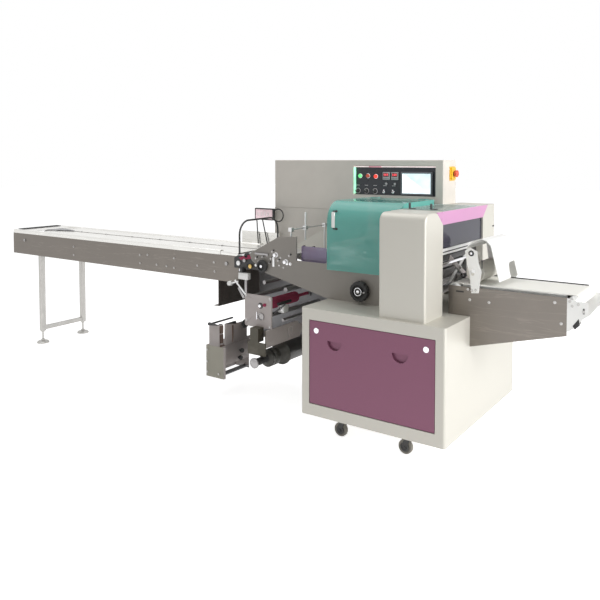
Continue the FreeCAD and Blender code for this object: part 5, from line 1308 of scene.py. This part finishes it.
@dataclass
class OutfeedFittings:
    """Screws, slots and scrapers of the outfeed and of the press roller's arms."""

    side_screw: Bolts = Bolts(5, 6)
    first_screw: tuple = (813, 779)
    side_screws: tuple = ((911, 777), (1222, 815), (1252, 720))
    small_screw: Bolts = Bolts(4.5, 4)
    end_screws: tuple = ((1288, 828), (1299, 808), (1348, 787), (1325, 818))
    foot_screws: tuple = ((806, 832), (826, 828), (846, 832))
    window: tuple = ((1302, 716), (1328, 752), (1334, 724), (1312, 700))
    arm_pivot: tuple = (821, 1013)

    def build(self) -> None:
        """Adds all fittings of the outfeed."""
        plates = Extent.of("outfeed_side_plates")
        near = self.side_screw.on(plates.y0, (self.first_screw, *self.side_screws))
        far = self.side_screw.on(plates.y1, self.side_screws, BACK)
        slot = Shape.block(Finish.BLACK, (741, plates.y0 - 1, 811), (781, plates.y0 + 1, 819), 0.8)
        assemble("outfeed_screws", near + far + [slot])
        y = Extent.of("outfeed_end_brackets").y0
        dark = [Shape.block(Finish.BLACK, (1345, y - 1, 776), (1353, y + 1, 802), 0.8),
                Shape.plate(Finish.BLACK, [(x, y - 1, z) for x, z in self.window], (0, 2, 0), 0.5)]
        assemble("outfeed_end_screws", self.small_screw.on(y, self.end_screws) + dark)
        bed = Extent.of("outfeed_bed")
        in_finishes("outfeed_bed", "bright_steel", Finish.WHITE,
                    Zone(Finish.BLACK, lambda c: c.y > bed.y1 - 16 and c.z > bed.z1 - 12))
        y = Extent.of("press_plates").y0
        parts = [Shape.hoop(Finish.BLACK, (self.arm_pivot[0], y - 1, self.arm_pivot[1]), 11, 3.4),
                 Shape.stud(Finish.CHROME, *self.arm_pivot, y - 6, y, 7, 1, sides=6),
                 Shape.stud(Finish.BRIGHT, 829, 926, y - 7, y, 12, 2, sides=6),
                 Shape.stud(Finish.BLACK, 905, 951, 590, 601, 9, 2),
                 Shape.block(Finish.BLACK_STEEL, (872, 300, 940), (876, 305, 985), 1)]
        assemble("press_arm_screws", parts + self.small_screw.on(y, self.foot_screws))


@dataclass
class FormerFittings:
    """Posts, fold guides and sensor of the bag former, and the counter display."""

    posts: tuple = (-285, -20)
    feet: tuple = (-285, -262)
    wing: tuple = ((-160, 350, 900), (-90, 350, 960), (-76, 350, 950), (-140, 350, 893))
    fold: tuple = ((-110, 362, 893), (-60, 362, 893), (-44, 362, 934), (-80, 362, 944))
    marks: tuple = (-215, -146)
    digits: int = 4
    digit_pitch: float = 29.0

    def guides(self) -> None:
        """Adds the guard's posts and the fold guides."""
        guard = Extent.of("former_guard")
        posts = blocks((Finish.BLACK_STEEL, (x - 5, guard.y1 - 8, guard.z0), (x + 5, guard.y1, 1022), 1.5)
                       for x in self.posts)
        feet = [Shape.stud(Finish.CHROME, x, 868, guard.y0 - 14, guard.y0 + 2, 9, 2) for x in self.feet]
        ties = blocks([(Finish.MACHINED, (-286, 274, 862), (-276, 300, 874), 1.5),
                       (Finish.MACHINED, (-25, 274, 880), (-15, 300, 890), 1.5)])
        assemble("former_guard_posts", posts + feet + ties)
        parts = [Shape.block(Finish.BRASS, (-230, 330, 940), (-130, 342, 960), 3),
                 Shape.drum(Finish.BRASS, (-180, 336, 889), (-180, 336, 942), 6),
                 Shape.plate(Finish.WHITE, self.wing, (0, 5, 0), 1),
                 Shape.plate(Finish.CHROME, self.fold, (0, 4, 0), 1)]
        parts += [Shape.stud(Finish.BLACK, x, 968, 326, 346, 5, 1) for x in self.marks]
        assemble("former_guides", parts)

    def counter(self) -> None:
        """Lights the counter's window and adds its digits."""
        panel = Extent.of("counter_display")
        in_finishes("counter_display", "black_plastic", Finish.BLACK,
                    Zone(Finish.DISPLAY, lambda c: 1074 < c.z < 1140 and c.y < panel.y0 + 5
                         and panel.x0 + 7 < c.x < panel.x0 + 152))
        digits = [Shape.hoop(Finish.WHITE, (panel.x0 + 26 + n * self.digit_pitch, panel.y0 + 3, z), 6, 1.4)
                  for n in range(self.digits) for z in (1100, 1113)]
        assemble("counter_digits", digits)

    def build(self) -> None:
        """Adds all fittings round the former."""
        self.guides()
        self.counter()
        rib, guard = Extent.of("cross_bars"), Extent.of("jaw_top_guard")
        in_finishes("cross_bars", "bright_steel", Finish.BRIGHT,
                    Zone(Finish.BLACK_STEEL, lambda c: c.x < -443 and c.y < rib.y0 + 20))
        in_finishes("jaw_top_guard", "teal_acrylic", Finish.TEAL_PALE,
                    Zone(Finish.BLACK, lambda c: c.z > guard.z0 + 4.5))


@dataclass
class CabinetFittings:
    """Caster hubs, door furniture and louvres of the cabinets."""

    hub_radius: float = 23.0
    lock_inset: float = 90.0
    louvres: int = 8
    louvre_pitch: float = 22.0

    def hub(self, node: str) -> None:
        """Adds hub caps to one caster wheel.

        Args:
            node: Name of the wheel.
        """
        wheel = Extent.of(node)
        x, z = (wheel.x0 + wheel.x1) / 2, (wheel.z0 + wheel.z1) / 2
        caps = []
        for y, side in ((wheel.y0, FRONT), (wheel.y1, BACK)):
            seat = Vector((x, y, z))
            cap = Shape.drum(Finish.HUB, seat - side * 3, seat + side * 1.5, self.hub_radius, soft=1.5)
            caps.append(cap.inset(side, 6, -2))
        assemble(node + "_hubs", caps, body=node)

    def door(self) -> None:
        """Adds the electrical cabinet's door with its locks and hinges."""
        box = Extent.of("electrical_cabinet")
        y = box.y1
        low, high = (box.x0 + 30, y - 1, box.z0 + 24), (box.x1 - 30, y + 4, box.z1 - 26)
        # The door takes the lightened cream of its cabinet, painted light.
        door = Shape.block(Finish.CREAM_REAR, low, high, 2)
        door.inset(BACK, 14, -2)
        locks = [Shape.stud(Finish.CHROME, box.x1 - 62, z, y + 2, y + 9, 13, 2)
                 for z in (box.z0 + self.lock_inset, box.z1 - self.lock_inset)]
        x = box.x0 + 26
        hinges = drums((Finish.BLACK_STEEL, (x, y + 4, z), (x, y + 4, z + 56), 6, 1)
                       for z in (box.z0 + 50, box.z1 - 110))
        assemble("electrical_cabinet_door", [door] + locks + hinges)

    def build(self) -> None:
        """Adds all fittings of the cabinets."""
        for n in range(1, 5):
            self.hub(f"caster_wheel_{n}")
        self.door()
        y = Extent.of("rear_housing").y1
        # The louvres take the lightened cream of the housing, painted light.
        louvre = Shape.block(Finish.CREAM_REAR, (-90, y - 1, 800), (90, y + 4, 808), 1.6)
        rows = [louvre] + louvre.copies([(0, 0, self.louvre_pitch * n) for n in range(1, self.louvres)])
        assemble("rear_housing_louvres", rows)


# ---------------------------------------------------------------- studio
@dataclass
class Studio:
    """Floor, world light, lamps and camera."""

    camera_place: Point = (2033.2, -2912.6, 1475.0)
    camera_pitch: float = 87.416
    camera_turn: float = 35.02
    lens: float = 40.46
    shift: float = -0.1826
    floor_size: float = 60.0
    floor_grey: float = 0.93
    floor_glow: float = 0.78
    fill_light: float = 0.26
    aim: Point = (0.6, 0.0, 0.7)
    lamps: list[tuple[str, Point, float, float]] = field(default_factory=lambda: [
        ("key_lamp", (6.0, -0.6, 2.6), 3.0, 250.0),
        ("front_lamp", (0.6, -5.6, 3.4), 3.4, 14.0),
        ("top_lamp", (-1.0, 0.2, 5.0), 4.0, 80.0),
    ])

    def floor(self) -> None:
        """Lays a pale floor that keeps the machine's shadow and shows white to the camera."""
        bpy.ops.mesh.primitive_plane_add(size=self.floor_size, location=(0, 0, 0))
        floor = bpy.context.object
        floor.name = "studio_floor"
        material = bpy.data.materials.new("studio_floor")
        material.use_nodes = True
        n = Nodes(material.node_tree)
        shader = material.node_tree.nodes["Principled BSDF"]
        shader.inputs["Base Color"].default_value = (*[self.floor_grey] * 3, 1)
        shader.inputs["Roughness"].default_value = 0.9
        path = n.add("ShaderNodeLightPath")
        seen = n.maths("MAXIMUM", path.outputs["Is Glossy Ray"], path.outputs["Is Transmission Ray"])
        n.join(n.maths("MULTIPLY", n.maths("MAXIMUM", path.outputs["Is Camera Ray"], seen), self.floor_glow),
               shader.inputs["Emission Strength"])
        shader.inputs["Emission Color"].default_value = (1, 1, 1, 1)
        floor.data.materials.append(material)

    def world(self) -> None:
        """Sets an even world light that is white to the camera and in reflections."""
        world = bpy.context.scene.world or bpy.data.worlds.new("studio")
        bpy.context.scene.world = world
        world.use_nodes = True
        n = Nodes(world.node_tree)
        back = world.node_tree.nodes["Background"]
        back.inputs["Color"].default_value = (1, 1, 1, 1)
        path = n.add("ShaderNodeLightPath")
        seen = n.maths("MAXIMUM", path.outputs["Is Camera Ray"], path.outputs["Is Transmission Ray"])
        seen = n.maths("MAXIMUM", seen, path.outputs["Is Glossy Ray"])
        n.join(n.spread(seen, 0.0, 1.0, self.fill_light, 1.0), back.inputs["Strength"])

    def lamp(self, name: str, place: Point, size: float, power: float) -> None:
        """Adds a soft square lamp aimed at the machine.

        Args:
            name: Name of the lamp.
            place: Its place in metres.
            size: Side of its square in metres.
            power: Its power in watts.
        """
        data = bpy.data.lights.new(name, "AREA")
        data.size, data.energy = size, power
        lamp = bpy.data.objects.new(name, data)
        lamp.location = place
        aim = Vector(self.aim) - Vector(place)
        lamp.rotation_euler = aim.to_track_quat("-Z", "Y").to_euler()
        bpy.context.scene.collection.objects.link(lamp)

    def camera(self) -> None:
        """Places the camera at the operator's corner of the outfeed."""
        data = bpy.data.cameras.new("camera")
        data.sensor_width = 36.0
        data.lens = self.lens
        data.shift_y = self.shift
        camera = bpy.data.objects.new("camera", data)
        camera.location = spot(*self.camera_place)
        camera.rotation_euler = (math.radians(self.camera_pitch), 0, math.radians(self.camera_turn))
        bpy.context.scene.collection.objects.link(camera)
        bpy.context.scene.camera = camera

    def build(self) -> None:
        """Sets up the whole studio."""
        bpy.context.scene.view_settings.view_transform = "Standard"
        self.floor()
        self.world()
        for lamp in self.lamps:
            self.lamp(*lamp)
        self.camera()


def main() -> None:
    """Builds the studio and dresses the machine."""
    logging.basicConfig(level=logging.INFO, format="%(name)s: %(message)s")
    Studio().build()
    dress_solids()
    for part in (InfeedFittings, NoseFittings, FilmFittings, Console, EmergencyStop, HoodFittings, JawStation,
                 OutfeedFittings, FormerFittings, CabinetFittings):
        part().build()


if __name__ == "__main__":
    main()
